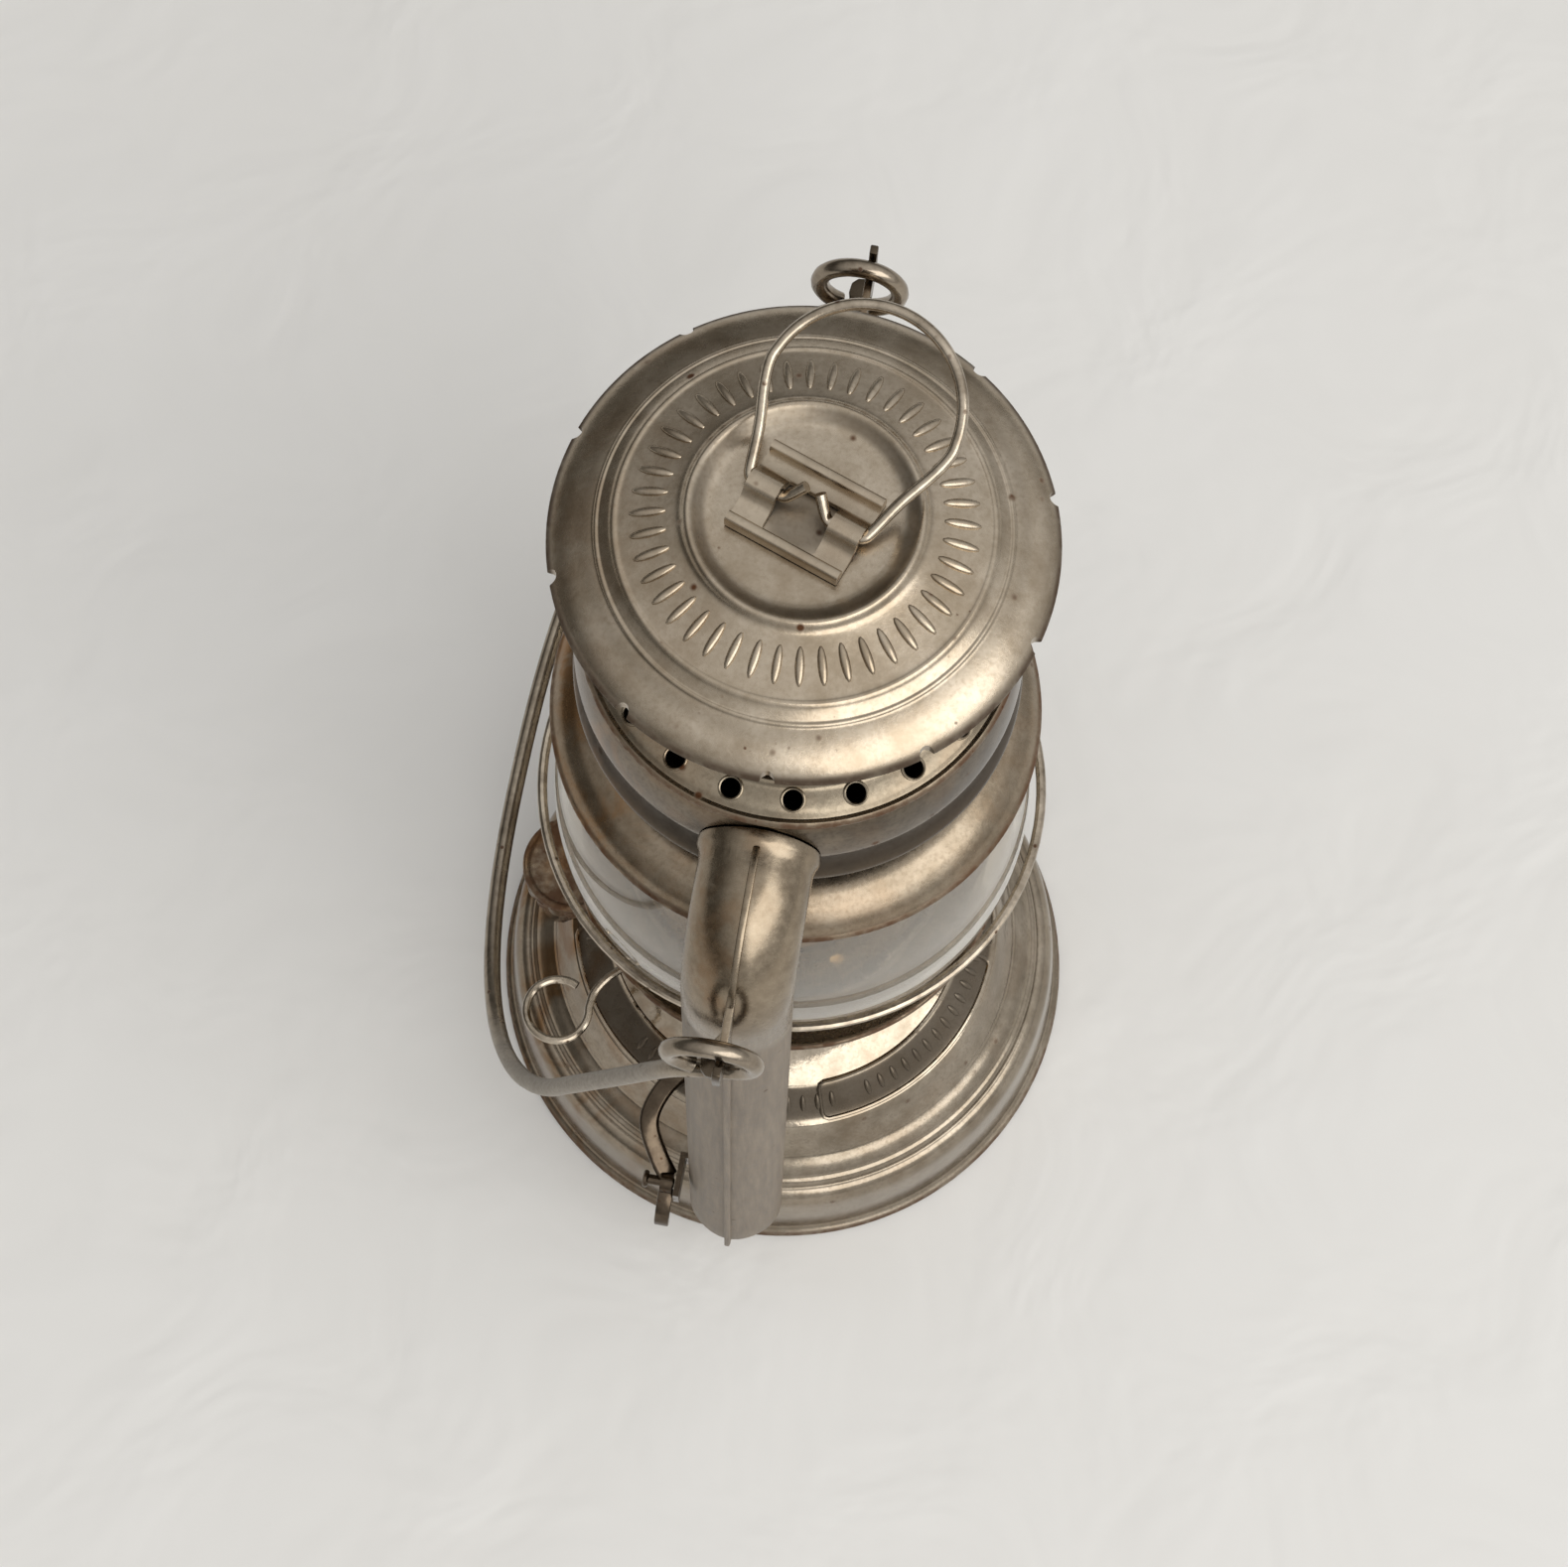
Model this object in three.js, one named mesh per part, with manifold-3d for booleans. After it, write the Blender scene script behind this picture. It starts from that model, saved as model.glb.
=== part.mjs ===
// Kerosene lantern with two side tubes, a glass globe, a lifting hood and a swinging bail.
// Millimetres, +Z up. The origin is the middle of the tank's underside, the tubes lie along Y,
// and the lift lever is beside the front tube, on the -Y side.

import * as THREE from 'three';
import { mergeVertices } from 'three/addons/utils/BufferGeometryUtils.js';
import Module from 'manifold-3d';

const wasm = await Module();
wasm.setup();

// Gaps and shared sizes
const seatGap = 0.3;
const slideGap = 0.5;
const cutOverrun = 3;
const sheetWall = 0.9;
const weldReach = 1e-4;
const leastSideLength = 0.1;
const degree = Math.PI / 180;
const halfTurn = Math.PI;
const wholeTurn = 2 * Math.PI;

// Sides of round holes, rods and rings, by how large they are
const fineSides = 24;
const neckSides = 20;
const rodSides = 16;
const eyeSides = 14;
const pinSides = 12;
const holeSides = 8;
const smallHoleSides = 6;

// Tank
const tankRadius = 65;
const tankHeight = 50;
const tankOpeningRadius = 18;
const tankSegments = 32;
const tankOutlineShares = [
  [0.978, 0.000], [1.000, 0.018], [1.000, 0.054], [0.975, 0.085], [0.954, 0.340], [0.938, 0.425],
  [0.892, 0.480], [0.878, 0.514], [0.854, 0.556], [0.800, 0.600], [0.769, 0.680], [0.722, 0.800],
  [0.590, 0.914], [0.360, 0.990],
];
const bottomPanelRadius = 24;
const bottomRecessDepth = 2.2;
const bottomStepWidth = 5;

// Filler neck, seal and cap
const fillerInset = 17.5;
const fillerReach = tankRadius - fillerInset;
const neckRadius = 8.8;
const neckWall = 1.2;
const neckTop = 50;
const sealThickness = 2;
const capRadius = 10.9;
const capWall = 1.1;
const capSkirt = 3.2;
const capDome = 1.6;
const capRibCount = 18;
const capRibDepth = 0.5;
const capDomeShares = [[0.5, 0.9], [0.1, 1]];

// Side tubes
const tubeTopReach = 56;
const tubeFootInset = 4.5;
const tubeFootReach = tankRadius - tubeFootInset;
const tubeTopHalfWidth = 9.4;
const tubeFootHalfWidth = 10.2;
const tubeHalfDepth = 8.8;
const mouthHalfDepth = 8.1;
const mouthHeight = 216;
const mouthReach = 30;
const bendRadius = 17;
const tubeFoot = 16;
const tubeFloor = 1.2;
const collarLength = 3.4;
const collarProud = 0.8;
const collarReach = 35;
const tubeSides = 14;
const bendSteps = 6;
const seamSharpShare = 0.06;
const seamThickness = 1.3;
const seamProud = 1.9;
const seamSunk = 1.2;
const seamMouthProud = 0.9;
const seamPointPower = 6;

// Bail, its eyes and the lugs that carry them
const bailHeight = 208;
const bailShift = -1.6;
const bailReach = 69.8;
const bailWire = 1.6;
const bailEyeRadius = 7.1;
const bailDepth = 106;
const bailStraight = 50;
const bailHang = 60 * degree;
const bailCurvePower = 2.35;
const bailSides = 6;
const bailBowSteps = 36;
const bailEyeSteps = 20;
const lugTip = 74.6;
const lugHookHeight = 3.2;
const lugThickness = 1.5;
const lugDrop = 3.4;
const lugSlotHeight = 5.2;
const eyeRoomSteps = 24;

// Crown, the closed air chamber that joins the tubes
const crownTopRadius = 34.2;
const crownTop = 228;
const crownLipRadius = 37.8;
const crownLip = 205.4;
const crownFloor = 208.4;
const crownFloorRadius = 33.6;
const sleeveRadius = 26.8;
const crownSegments = 28;
const crownWallShares = [[0, 1], [0.42, 0.72], [0.66, 0.46], [0.60, 0.30], [0.82, 0.12], [1, 0]];
const plateCrest = 233.6;
const plateRimRadius = 35.4;
const plateRimDrop = 1.8;
const ventCount = 20;
const ventRadius = 1.7;
const ventReach = 31.9;
const ventTurn = 8 * degree;

// Hood with chimney and globe cap, all lifted together
const chimneyRadius = 23;
const chimneyWall = 0.8;
const chimneyWindows = 4;
const windowWidth = 24;
const windowSill = 243;
const capEdgeRadius = 43.2;
const capEdge = 184;
const capCrown = 191.2;
const capSeatRadius = 35;
const capSlopeShares = [[0.26, 0.42], [0.62, 0.72]];
const capSeatStepShare = 0.3;
const windowTurn = 45;
const hoodRadius = 38.9;
const hoodRim = 260.2;
const hoodRidgeRadius = 30.4;
const hoodRidge = 268.4;
const hoodBandInner = 17.6;
const hoodDishRidgeRadius = 16.2;
const hoodDishRidge = 272.2;
const hoodDishRadius = 14.6;
const hoodDish = 269.6;
const hoodSegments = 30;
const hoodSkirtShares = [[0.4, 0.52], [0.72, 0.76]];
const hoodShoulderDrop = 1.44;
const notchCount = 10;
const notchRadius = 1.1;
const notchTurn = -88 * degree;
const springWire = 0.6;
const springTurns = 6;
const springStepsPerTurn = 12;
const springSides = 5;

// Pull ring and the clip that holds it
const clipTurn = -20 * degree;
const clipLength = 19;
const clipWidth = 15;
const clipWall = 0.8;
const clipFlange = 1.7;
const clipWindow = 6.4;
const clipWindowDepth = 6;
const tunnelLength = 4.2;
const tunnelInset = 1.1;
const ringWire = 0.9;
const ringPivotRise = 1.9;
const ringHalfFoot = 10.4;
const ringHalfWidth = 15.2;
const ringLength = 32;
const ringLean = 22 * degree;
const ringEndRise = 3;
const ringEndGap = 1.4;
const ringSides = 6;
const ringCornerRadius = 1.98;
const ringCornerShare = 0.3;
const ringSideShares = [[0.35, 0.45], [0.8, 0.78]];
const ringEndFoot = 1.08;
const ringBowSteps = 7;

// Globe and guard
const globeBottomRadius = 33.6;
const globeBottom = 95;
const globeBellyRadius = 45.3;
const globeTopRadius = 32.2;
const globeTop = 189.9;
const globeWall = 2.1;
const globeSegments = 28;
const globeOutlineShares = [
  [0.00, 0.00], [0.10, 0.035], [0.48, 0.12], [0.82, 0.25], [0.98, 0.38], [0.98, 0.52],
  [0.82, 0.67], [0.55, 0.79], [0.24, 0.89], [0.00, 1.00],
];
const guardWire = 0.95;
const guardHeight = 139;
const guardSides = 5;
const guardSteps = 32;

// Globe plate
const plateHoleRadius = 19.6;
const plateDish = 88.5;
const plateSeat = 93.7;
const plateSeatInner = 29.5;
const plateEdgeRadius = 42.9;
const plateEdge = 100.4;
const plateVentCount = 16;
const plateVentRadius = 1.5;
const plateVentReach = 25.5;
const footStrapWidth = 5;
const footStrapWall = 1;
const footReach = 37.6;
const footTurn = -99 * degree;
const footLength = 8;

// Burner
const burnerFlangeRadius = 20.4;
const burnerFlange = 1.5;
const burnerRadius = 16;
const burnerWall = 1;
const burnerTop = 72;
const burnerSkirt = 6;
const burnerSegments = 20;
const burnerCollarRise = 2.25;
const burnerWaistRise = 4.5;
const coneSteps = 5;
const coneSwellPower = 0.8;
const coneShoulderShare = 0.97;
const coneHeight = 19;
const coneTopRadius = 9;
const coneSlotLength = 16.4;
const coneSlotWidth = 5;
const wickTubeWidth = 14.6;
const wickTubeDepth = 3.9;
const wickTubeWall = 0.6;
const wickTubeBottom = 40;
const wickTubeTop = 87;
const wickWidth = 12.6;
const wickDepth = 2;
const wickTop = 89;
const wickBottom = 14;
const wickWindow = 6.6;

// Wick raiser
const raiserTurn = 224 * degree;
const raiserHeight = 66;
const raiserWire = 0.75;
const raiserInner = 5.4;
const raiserStraight = 41;
const raiserLoopReach = 55.4;
const raiserLoopRadius = 6.6;
const raiserSides = 5;
const raiserLoopSteps = 17;
const raiserLoopStart = 148 * degree;
const raiserLoopEnd = -160 * degree;
const raiserNeckRise = 0.66;
const spurRadius = 2.4;
const spurTooth = 0.5;
const spurTeeth = 8;
const spurWidth = 1.2;
const spurSpread = 3;

// Lift lever and its bracket
const leverPivotReach = 64.6;
const leverPivotHeight = 50;
const leverPivotInner = 10.9;
const leverPinRadius = 1.1;
const leverPinLength = 6.6;
const leverEyeRadius = 2.3;
const leverEyeOffset = 1.9;
const leverStripWidth = 3.6;
const leverStripThickness = 1.3;
const leverTipHeight = 60;
const leverTipX = -6;
const leverTipReach = 36;
const leverBulge = -20.6;
const leverTabWidth = 3.2;
const leverTabLength = 9;
const leverTabThickness = 1.2;
const leverRiseShares = [0, 0.3, 0.62, 0.86, 0.97, 1];
const leverFirstBend = 5.52;
const leverBulgeReach = 11.96;
const leverReturnReach = 18.86;
const leverReturnShare = 0.84;
const leverLastBend = 4.86;
const leverSteps = 14;
const leverTabShares = { knee: 0.55, end: 0.9, inner: 0.5, drop: 0.25, tip: 0.8 };
const leverPinHeadRadius = 1.87;
const leverPinHead = 1;
const bracketEarWall = 1.2;
const bracketEarHeight = 7.4;
const bracketEarDepth = 6.4;

// Colours and finishes
const brightTin = { color: 0x9c9284, roughness: 0.32, metalness: 1 };
const dullZinc = { color: 0x8c867d, roughness: 0.55, metalness: 0.9 };
const wireSteel = { color: 0x7d776b, roughness: 0.38, metalness: 1 };
const brass = { color: 0x9b7a48, roughness: 0.4, metalness: 1 };
const clearGlass = { color: 0xe8eceb, roughness: 0.05, metalness: 0, transparent: true, opacity: 0.35 };
const cork = { color: 0x8a6a45, roughness: 0.9, metalness: 0 };
const cotton = { color: 0xd9d2c0, roughness: 0.95, metalness: 0 };

// Solids and meshes

function solidOf(geometry) {
  const bare = geometry.index ? geometry.toNonIndexed() : geometry.clone();
  bare.deleteAttribute('normal');
  bare.deleteAttribute('uv');
  const merged = mergeVertices(bare, weldReach);
  const place = merged.attributes.position.array;
  const index = Array.from(merged.index.array);
  const kept = [];
  let volume = 0;
  for (let i = 0; i < index.length; i += 3) {
    const [a, b, c] = [index[i], index[i + 1], index[i + 2]];
    if (a === b || b === c || c === a) continue;
    kept.push(a, b, c);
    const [p, q, r] = [a, b, c].map((v) => new THREE.Vector3().fromArray(place, 3 * v));
    volume += p.dot(q.cross(r));
  }
  if (volume < 0) {
    for (let i = 0; i < kept.length; i += 3) [kept[i], kept[i + 1]] = [kept[i + 1], kept[i]];
  }
  return new wasm.Manifold(new wasm.Mesh({
    numProp: 3,
    vertProperties: Float32Array.from(place),
    triVerts: Uint32Array.from(kept),
  }));
}

function geometryOf(solid) {
  const mesh = solid.getMesh();
  const geometry = new THREE.BufferGeometry();
  const places = new Float32Array(mesh.numVert * 3);
  for (let i = 0; i < mesh.numVert; i += 1) {
    for (let k = 0; k < 3; k += 1) places[3 * i + k] = mesh.vertProperties[mesh.numProp * i + k];
  }
  geometry.setAttribute('position', new THREE.BufferAttribute(places, 3));
  geometry.setIndex(Array.from(mesh.triVerts));
  geometry.computeVertexNormals();
  return geometry;
}

function piece(name, finish, solid) {
  const mesh = new THREE.Mesh(geometryOf(solid), new THREE.MeshStandardMaterial(finish));
  mesh.name = name;
  return mesh;
}

// A closed outline of [radius, height] points turned round the Z axis.
function revolve(outline, segments) {
  const points = outline.map(([r, z]) => new THREE.Vector2(Math.max(r, 0), z));
  points.push(points[0].clone());
  return solidOf(new THREE.LatheGeometry(points, segments).rotateX(halfTurn / 2));
}

// An open outline given a wall on its left side, as seen along its points.
function walled(outline, wall) {
  const inner = outline.map((point, i) => {
    const before = outline[Math.max(i - 1, 0)];
    const after = outline[Math.min(i + 1, outline.length - 1)];
    const run = new THREE.Vector2(after[0] - before[0], after[1] - before[1]).normalize();
    return [point[0] - run.y * wall, point[1] + run.x * wall];
  });
  return [...outline, ...inner.reverse()];
}

// Everything on the far side of an open outline, up to a height and out to its own ends.
function regionAbove(outline, height) {
  return [...outline, [outline[outline.length - 1][0], height], [outline[0][0], height]];
}

function boxSolid(low, high) {
  const size = high.map((value, i) => value - low[i]);
  const box = new THREE.BoxGeometry(...size);
  box.translate(...high.map((value, i) => (value + low[i]) / 2));
  return solidOf(box);
}

function rodSolid(radius, from, to, sides) {
  const start = new THREE.Vector3(...from);
  const end = new THREE.Vector3(...to);
  const rod = new THREE.CylinderGeometry(radius, radius, start.distanceTo(end), sides);
  const turn = new THREE.Quaternion().setFromUnitVectors(
    new THREE.Vector3(0, 1, 0), end.clone().sub(start).normalize());
  rod.applyQuaternion(turn);
  rod.translate(...start.add(end).divideScalar(2).toArray());
  return solidOf(rod);
}

// Rings of points joined by a skin, with a fan over each end.
function loft(rings, closed = false) {
  const places = [];
  const push = (...points) => points.forEach((p) => places.push(p.x, p.y, p.z));
  const joins = closed ? rings.length : rings.length - 1;
  for (let i = 0; i < joins; i += 1) {
    const ring = rings[i];
    const next = rings[(i + 1) % rings.length];
    for (let j = 0; j < ring.length; j += 1) {
      const k = (j + 1) % ring.length;
      push(ring[j], ring[k], next[k]);
      push(ring[j], next[k], next[j]);
    }
  }
  if (!closed) {
    for (const [ring, flip] of [[rings[0], true], [rings[rings.length - 1], false]]) {
      const middle = ring.reduce((sum, p) => sum.add(p), new THREE.Vector3()).divideScalar(ring.length);
      for (let j = 0; j < ring.length; j += 1) {
        const k = (j + 1) % ring.length;
        if (flip) push(ring[k], ring[j], middle);
        else push(ring[j], ring[k], middle);
      }
    }
  }
  const geometry = new THREE.BufferGeometry();
  geometry.setAttribute('position', new THREE.Float32BufferAttribute(places, 3));
  return solidOf(geometry);
}

// Round wire along points, turned with as little twist as its bends allow.
function wire(points, radius, sides, closed = false) {
  const count = points.length;
  const tangent = (i) => {
    const before = closed ? points[(i + count - 1) % count] : points[Math.max(i - 1, 0)];
    const after = closed ? points[(i + 1) % count] : points[Math.min(i + 1, count - 1)];
    return after.clone().sub(before).normalize();
  };
  let along = tangent(0);
  let side = new THREE.Vector3(0, 0, 1).cross(along);
  if (side.length() < leastSideLength) side = new THREE.Vector3(1, 0, 0).cross(along);
  side.normalize();
  const rings = points.map((point, i) => {
    const now = tangent(i);
    side.applyQuaternion(new THREE.Quaternion().setFromUnitVectors(along, now));
    side.addScaledVector(now, -side.dot(now)).normalize();
    along = now;
    const up = new THREE.Vector3().crossVectors(now, side);
    return Array.from({ length: sides }, (_, k) => {
      const turn = wholeTurn * k / sides;
      return point.clone()
        .addScaledVector(side, radius * Math.cos(turn))
        .addScaledVector(up, radius * Math.sin(turn));
    });
  });
  return loft(rings, closed);
}

// A flat outline in the plane of Y and Z, made thick along X and centred on x.
function upright(outline, thickness, x) {
  const shape = new THREE.Shape(outline.map(([y, z]) => new THREE.Vector2(y, z)));
  const plate = new THREE.ExtrudeGeometry(shape, { depth: thickness, bevelEnabled: false });
  const basis = new THREE.Matrix4().makeBasis(
    new THREE.Vector3(0, 1, 0), new THREE.Vector3(0, 0, 1), new THREE.Vector3(1, 0, 0));
  plate.applyMatrix4(basis);
  plate.translate(x - thickness / 2, 0, 0);
  return solidOf(plate);
}

const arc = (count, from, to, place) => Array.from(
  { length: count + 1 }, (_, i) => place(from + (to - from) * i / count));

// Tank

const tankOutline = tankOutlineShares.map(([r, z]) => [r * tankRadius, z * tankHeight]);
tankOutline.push([tankOpeningRadius, tankHeight]);

function tankKeepOut(gap) {
  const outline = walled(tankOutline, -gap).slice(tankOutline.length).reverse();
  outline.push([0, tankHeight + gap]);
  return revolve([[0, -cutOverrun], [tankRadius, -cutOverrun], ...outline], tankSegments);
}

function tankShell() {
  const shell = revolve(walled(tankOutline, sheetWall), tankSegments);
  const fillerHole = rodSolid(neckRadius - neckWall, [-fillerReach, 0, 0],
    [-fillerReach, 0, tankHeight + cutOverrun], neckSides);
  return shell.subtract(fillerHole);
}

function tankBottom() {
  const rim = tankOutlineShares[0][0] * tankRadius - sheetWall - seatGap;
  const outline = [
    [0, 0], [bottomPanelRadius, 0], [bottomPanelRadius + bottomStepWidth / 2, bottomRecessDepth],
    [rim - bottomStepWidth, bottomRecessDepth], [rim, bottomRecessDepth],
    [rim, bottomRecessDepth + sheetWall], [bottomPanelRadius, bottomRecessDepth + sheetWall],
    [bottomPanelRadius - bottomStepWidth / 2, sheetWall], [0, sheetWall],
  ];
  return revolve(outline, tankSegments);
}

// Filler neck, seal and cap

const atFiller = (solid) => solid.translate([-fillerReach, 0, 0]);

function fillerNeck() {
  const bore = neckRadius - neckWall;
  const ring = revolve([[bore, tankHeight / 2], [neckRadius, tankHeight / 2],
    [neckRadius, neckTop], [bore, neckTop]], fineSides);
  return atFiller(ring).subtract(tankKeepOut(seatGap));
}

function fillerSeal() {
  const low = neckTop + seatGap;
  const reach = capRadius - capWall - capRibDepth - seatGap;
  return atFiller(revolve([[0, low], [reach, low], [reach, low + sealThickness],
    [0, low + sealThickness]], fineSides));
}

function fillerCap() {
  const ceiling = neckTop + sealThickness + 2 * seatGap;
  const low = ceiling - capSkirt - sealThickness;
  const bore = capRadius - capWall - capRibDepth;
  const shoulder = ceiling + capWall;
  const ringAt = (radius, z, depth) => arc(2 * capRibCount - 1, 0, 2 * capRibCount - 1, (i) => {
    const turn = halfTurn * i / capRibCount;
    const reach = radius - (i % 2) * depth;
    return new THREE.Vector3(reach * Math.cos(turn), reach * Math.sin(turn), z);
  });
  const body = loft([
    ringAt(capRadius, low, capRibDepth), ringAt(capRadius, ceiling, capRibDepth),
    ringAt(capRadius - capWall / 2, shoulder, 0), ringAt(capRadius - capDome, shoulder + capDome / 2, 0),
    ...capDomeShares.map(([across, up]) => ringAt(capRadius * across, shoulder + capDome * up, 0)),
  ]);
  const hollow = revolve([[0, low - cutOverrun], [bore, low - cutOverrun], [bore, ceiling],
    [0, ceiling]], fineSides);
  return atFiller(body.subtract(hollow));
}

// Side tubes with their outer seams and bail lugs. They are drawn on the -Y side.

const tubeBendHeight = mouthHeight - bendRadius;
const tubeSplay = Math.atan((tubeFootReach - tubeTopReach) / (tubeBendHeight - tubeFoot));

// How far out the tube's middle lies at a height of its long side.
function tubeReachAt(height) {
  return tubeTopReach + (tubeBendHeight - height) * Math.tan(tubeSplay);
}

function tubeStations() {
  const mouth = { height: mouthHeight, lean: 0, depth: mouthHalfDepth, width: tubeTopHalfWidth };
  const stations = [mouthReach, collarReach, collarReach + collarLength]
    .map((reach) => ({ ...mouth, reach }));
  arc(bendSteps, 0, 1, (share) => {
    const lean = (halfTurn / 2 - tubeSplay) * share;
    stations.push({
      reach: tubeTopReach - bendRadius + bendRadius * Math.sin(lean),
      height: tubeBendHeight + bendRadius * Math.cos(lean),
      lean,
      depth: mouthHalfDepth,
      width: tubeTopHalfWidth,
    });
  });
  stations.push({
    reach: tubeFootReach,
    height: tubeFoot,
    lean: halfTurn / 2 - tubeSplay,
    depth: tubeHalfDepth,
    width: tubeFootHalfWidth,
  });
  return stations;
}

// One ring of the tube: an oval drawn to a soft point at its outer seam.
function tubeRing({ reach, height, lean, depth, width }, proud) {
  const outward = new THREE.Vector3(0, -Math.sin(lean), Math.cos(lean));
  return arc(tubeSides - 1, 0, tubeSides - 1, (i) => {
    const turn = wholeTurn * i / tubeSides;
    const across = (width + proud) * Math.sin(turn);
    const point = 1 + seamSharpShare * Math.max(Math.cos(turn), 0) ** seamPointPower;
    const out = (depth + proud) * Math.cos(turn) * point;
    return new THREE.Vector3(across, -reach, height).addScaledVector(outward, out);
  });
}

function tubeOuter(proud) {
  return loft(tubeStations().map((station) => tubeRing(station, proud)));
}

function tubeBore() {
  const stations = tubeStations();
  stations[0].reach -= cutOverrun;
  stations[stations.length - 1].height += tubeFloor;
  return loft(stations.map((station) => tubeRing(station, -sheetWall)));
}

function tubeCollar() {
  const start = tubeStations()[0];
  const end = { ...start, reach: collarReach + collarLength };
  return loft([tubeRing(start, collarProud), tubeRing(end, collarProud)]);
}

// The folded seam along the outside of the tube, from the mouth to a pointed foot.
function tubeSeam() {
  const crestShare = 1 + seamSharpShare;
  const line = tubeStations().slice(2).map((station) => {
    const crest = station.depth * crestShare;
    return { ...station, crest };
  });
  const edge = (station, rise) => [
    -station.reach - Math.sin(station.lean) * (station.crest + rise),
    station.height + Math.cos(station.lean) * (station.crest + rise),
  ];
  const outer = line.map((station, i) => edge(station, i < 2 ? seamMouthProud : seamProud));
  outer[outer.length - 1][1] += seamProud;
  const inner = line.map((station) => edge(station, -seamSunk)).reverse();
  return upright([...outer, ...inner], seamThickness, 0);
}

// A flat lug that passes through the bail's eye and turns up beyond it.
function bailLug() {
  const eyeInner = bailEyeRadius - bailWire;
  const top = bailHeight + Math.sqrt(eyeInner ** 2 - (lugThickness / 2 - bailShift) ** 2) - seatGap;
  const low = bailHeight - lugDrop;
  const inside = tubeTopReach;
  const wireOuter = bailReach + bailWire + seatGap;
  const outline = [
    [-inside, low - lugSlotHeight], [-inside, top + lugHookHeight], [-(inside + bailWire), top],
    [-wireOuter, top], [-wireOuter, top + lugHookHeight], [-lugTip, top + lugHookHeight],
    [-lugTip, low + lugHookHeight], [-wireOuter, low], [-(bailReach - bailWire - slideGap), low],
  ];
  return upright(outline, lugThickness, 0);
}

// The seam is cut away where the eye's wire runs past it, above and below the lug.
function eyeRoom() {
  const ring = arc(eyeRoomSteps - 1, 0, eyeRoomSteps - 1, (i) => {
    const turn = wholeTurn * i / eyeRoomSteps;
    return new THREE.Vector3(bailShift + bailEyeRadius * Math.cos(turn), -bailReach,
      bailHeight + bailEyeRadius * Math.sin(turn));
  });
  return wire(ring, bailWire + slideGap, bailSides, true);
}

const crownWall = crownWallShares.map(([r, z]) => [
  crownTopRadius + (crownLipRadius - crownTopRadius) * r, crownLip + (crownTop - crownLip) * z]);

function crownKeepOut(gap) {
  const outline = walled(crownWall, gap).slice(crownWall.length).reverse();
  const top = outline[0];
  const low = outline[outline.length - 1];
  return revolve([[0, top[1] + cutOverrun], [top[0], top[1] + cutOverrun], ...outline,
    [low[0], crownLip - seatGap], [0, crownLip - seatGap]], crownSegments);
}

function tube() {
  let body = tubeOuter(0).add(tubeCollar()).add(tubeSeam()).add(bailLug());
  body = body.subtract(eyeRoom());
  body = body.subtract(tubeBore());
  body = body.subtract(crownKeepOut(seatGap));
  return body.subtract(tankKeepOut(seatGap));
}

// Crown

function crownShell() {
  const floorOutline = [
    ...crownWall, [crownFloorRadius, crownLip], [crownFloorRadius - sheetWall, crownFloor],
    [sleeveRadius + sheetWall, crownFloor], [sleeveRadius, crownFloor + sheetWall],
    [sleeveRadius, plateCrest - 2 * sheetWall - seatGap],
  ];
  const shell = revolve(walled(floorOutline, -sheetWall), crownSegments);
  const mouth = tubeStations()[0];
  const cutter = loft([tubeRing({ ...mouth, reach: crownFloorRadius - 2 * sheetWall }, -sheetWall),
    tubeRing({ ...mouth, reach: crownLipRadius + cutOverrun }, -sheetWall)]);
  return shell.subtract(cutter).subtract(cutter.mirror([0, 1, 0]));
}

function crownPlate() {
  const rim = crownTop + seatGap;
  const outline = [
    [plateRimRadius, rim - plateRimDrop], [plateRimRadius + sheetWall / 2, rim - sheetWall],
    [plateRimRadius, rim + sheetWall / 2],
    [plateRimRadius - 2 * sheetWall, rim + sheetWall],
    [ventReach - 2 * ventRadius, plateCrest - 2 * sheetWall],
    [sleeveRadius + 2 * sheetWall, plateCrest - sheetWall / 2],
    [sleeveRadius, plateCrest], [chimneyRadius + slideGap, plateCrest],
  ];
  let plate = revolve(walled(outline, sheetWall), crownSegments);
  for (let i = 0; i < ventCount; i += 1) {
    const turn = ventTurn + wholeTurn * i / ventCount;
    const [x, y] = [ventReach * Math.cos(turn), ventReach * Math.sin(turn)];
    const vent = rodSolid(ventRadius, [x, y, rim - cutOverrun], [x, y, plateCrest + cutOverrun], holeSides);
    plate = plate.subtract(vent);
  }
  return plate;
}

// Hood, chimney and globe cap

const hoodSkirt = hoodSkirtShares.map(([across, up]) => [
  hoodRadius + (hoodRidgeRadius - hoodRadius) * across, hoodRim + (hoodRidge - hoodRim) * up]);
const hoodOutline = [
  [hoodRadius - sheetWall, hoodRim - sheetWall], [hoodRadius, hoodRim],
  [hoodRadius - sheetWall, hoodRim + sheetWall], ...hoodSkirt,
  [hoodRidgeRadius + sheetWall, hoodRidge - hoodShoulderDrop],
  [hoodRidgeRadius + sheetWall / 3, hoodRidge], [hoodRidgeRadius - sheetWall, hoodRidge],
  [hoodRidgeRadius - 2 * sheetWall, hoodRidge - sheetWall / 2],
  [hoodBandInner + sheetWall, hoodDishRidge - hoodShoulderDrop],
  [hoodDishRidgeRadius + sheetWall, hoodDishRidge],
  [hoodDishRidgeRadius, hoodDishRidge], [hoodDishRadius, hoodDish], [0, hoodDish],
];

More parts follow.
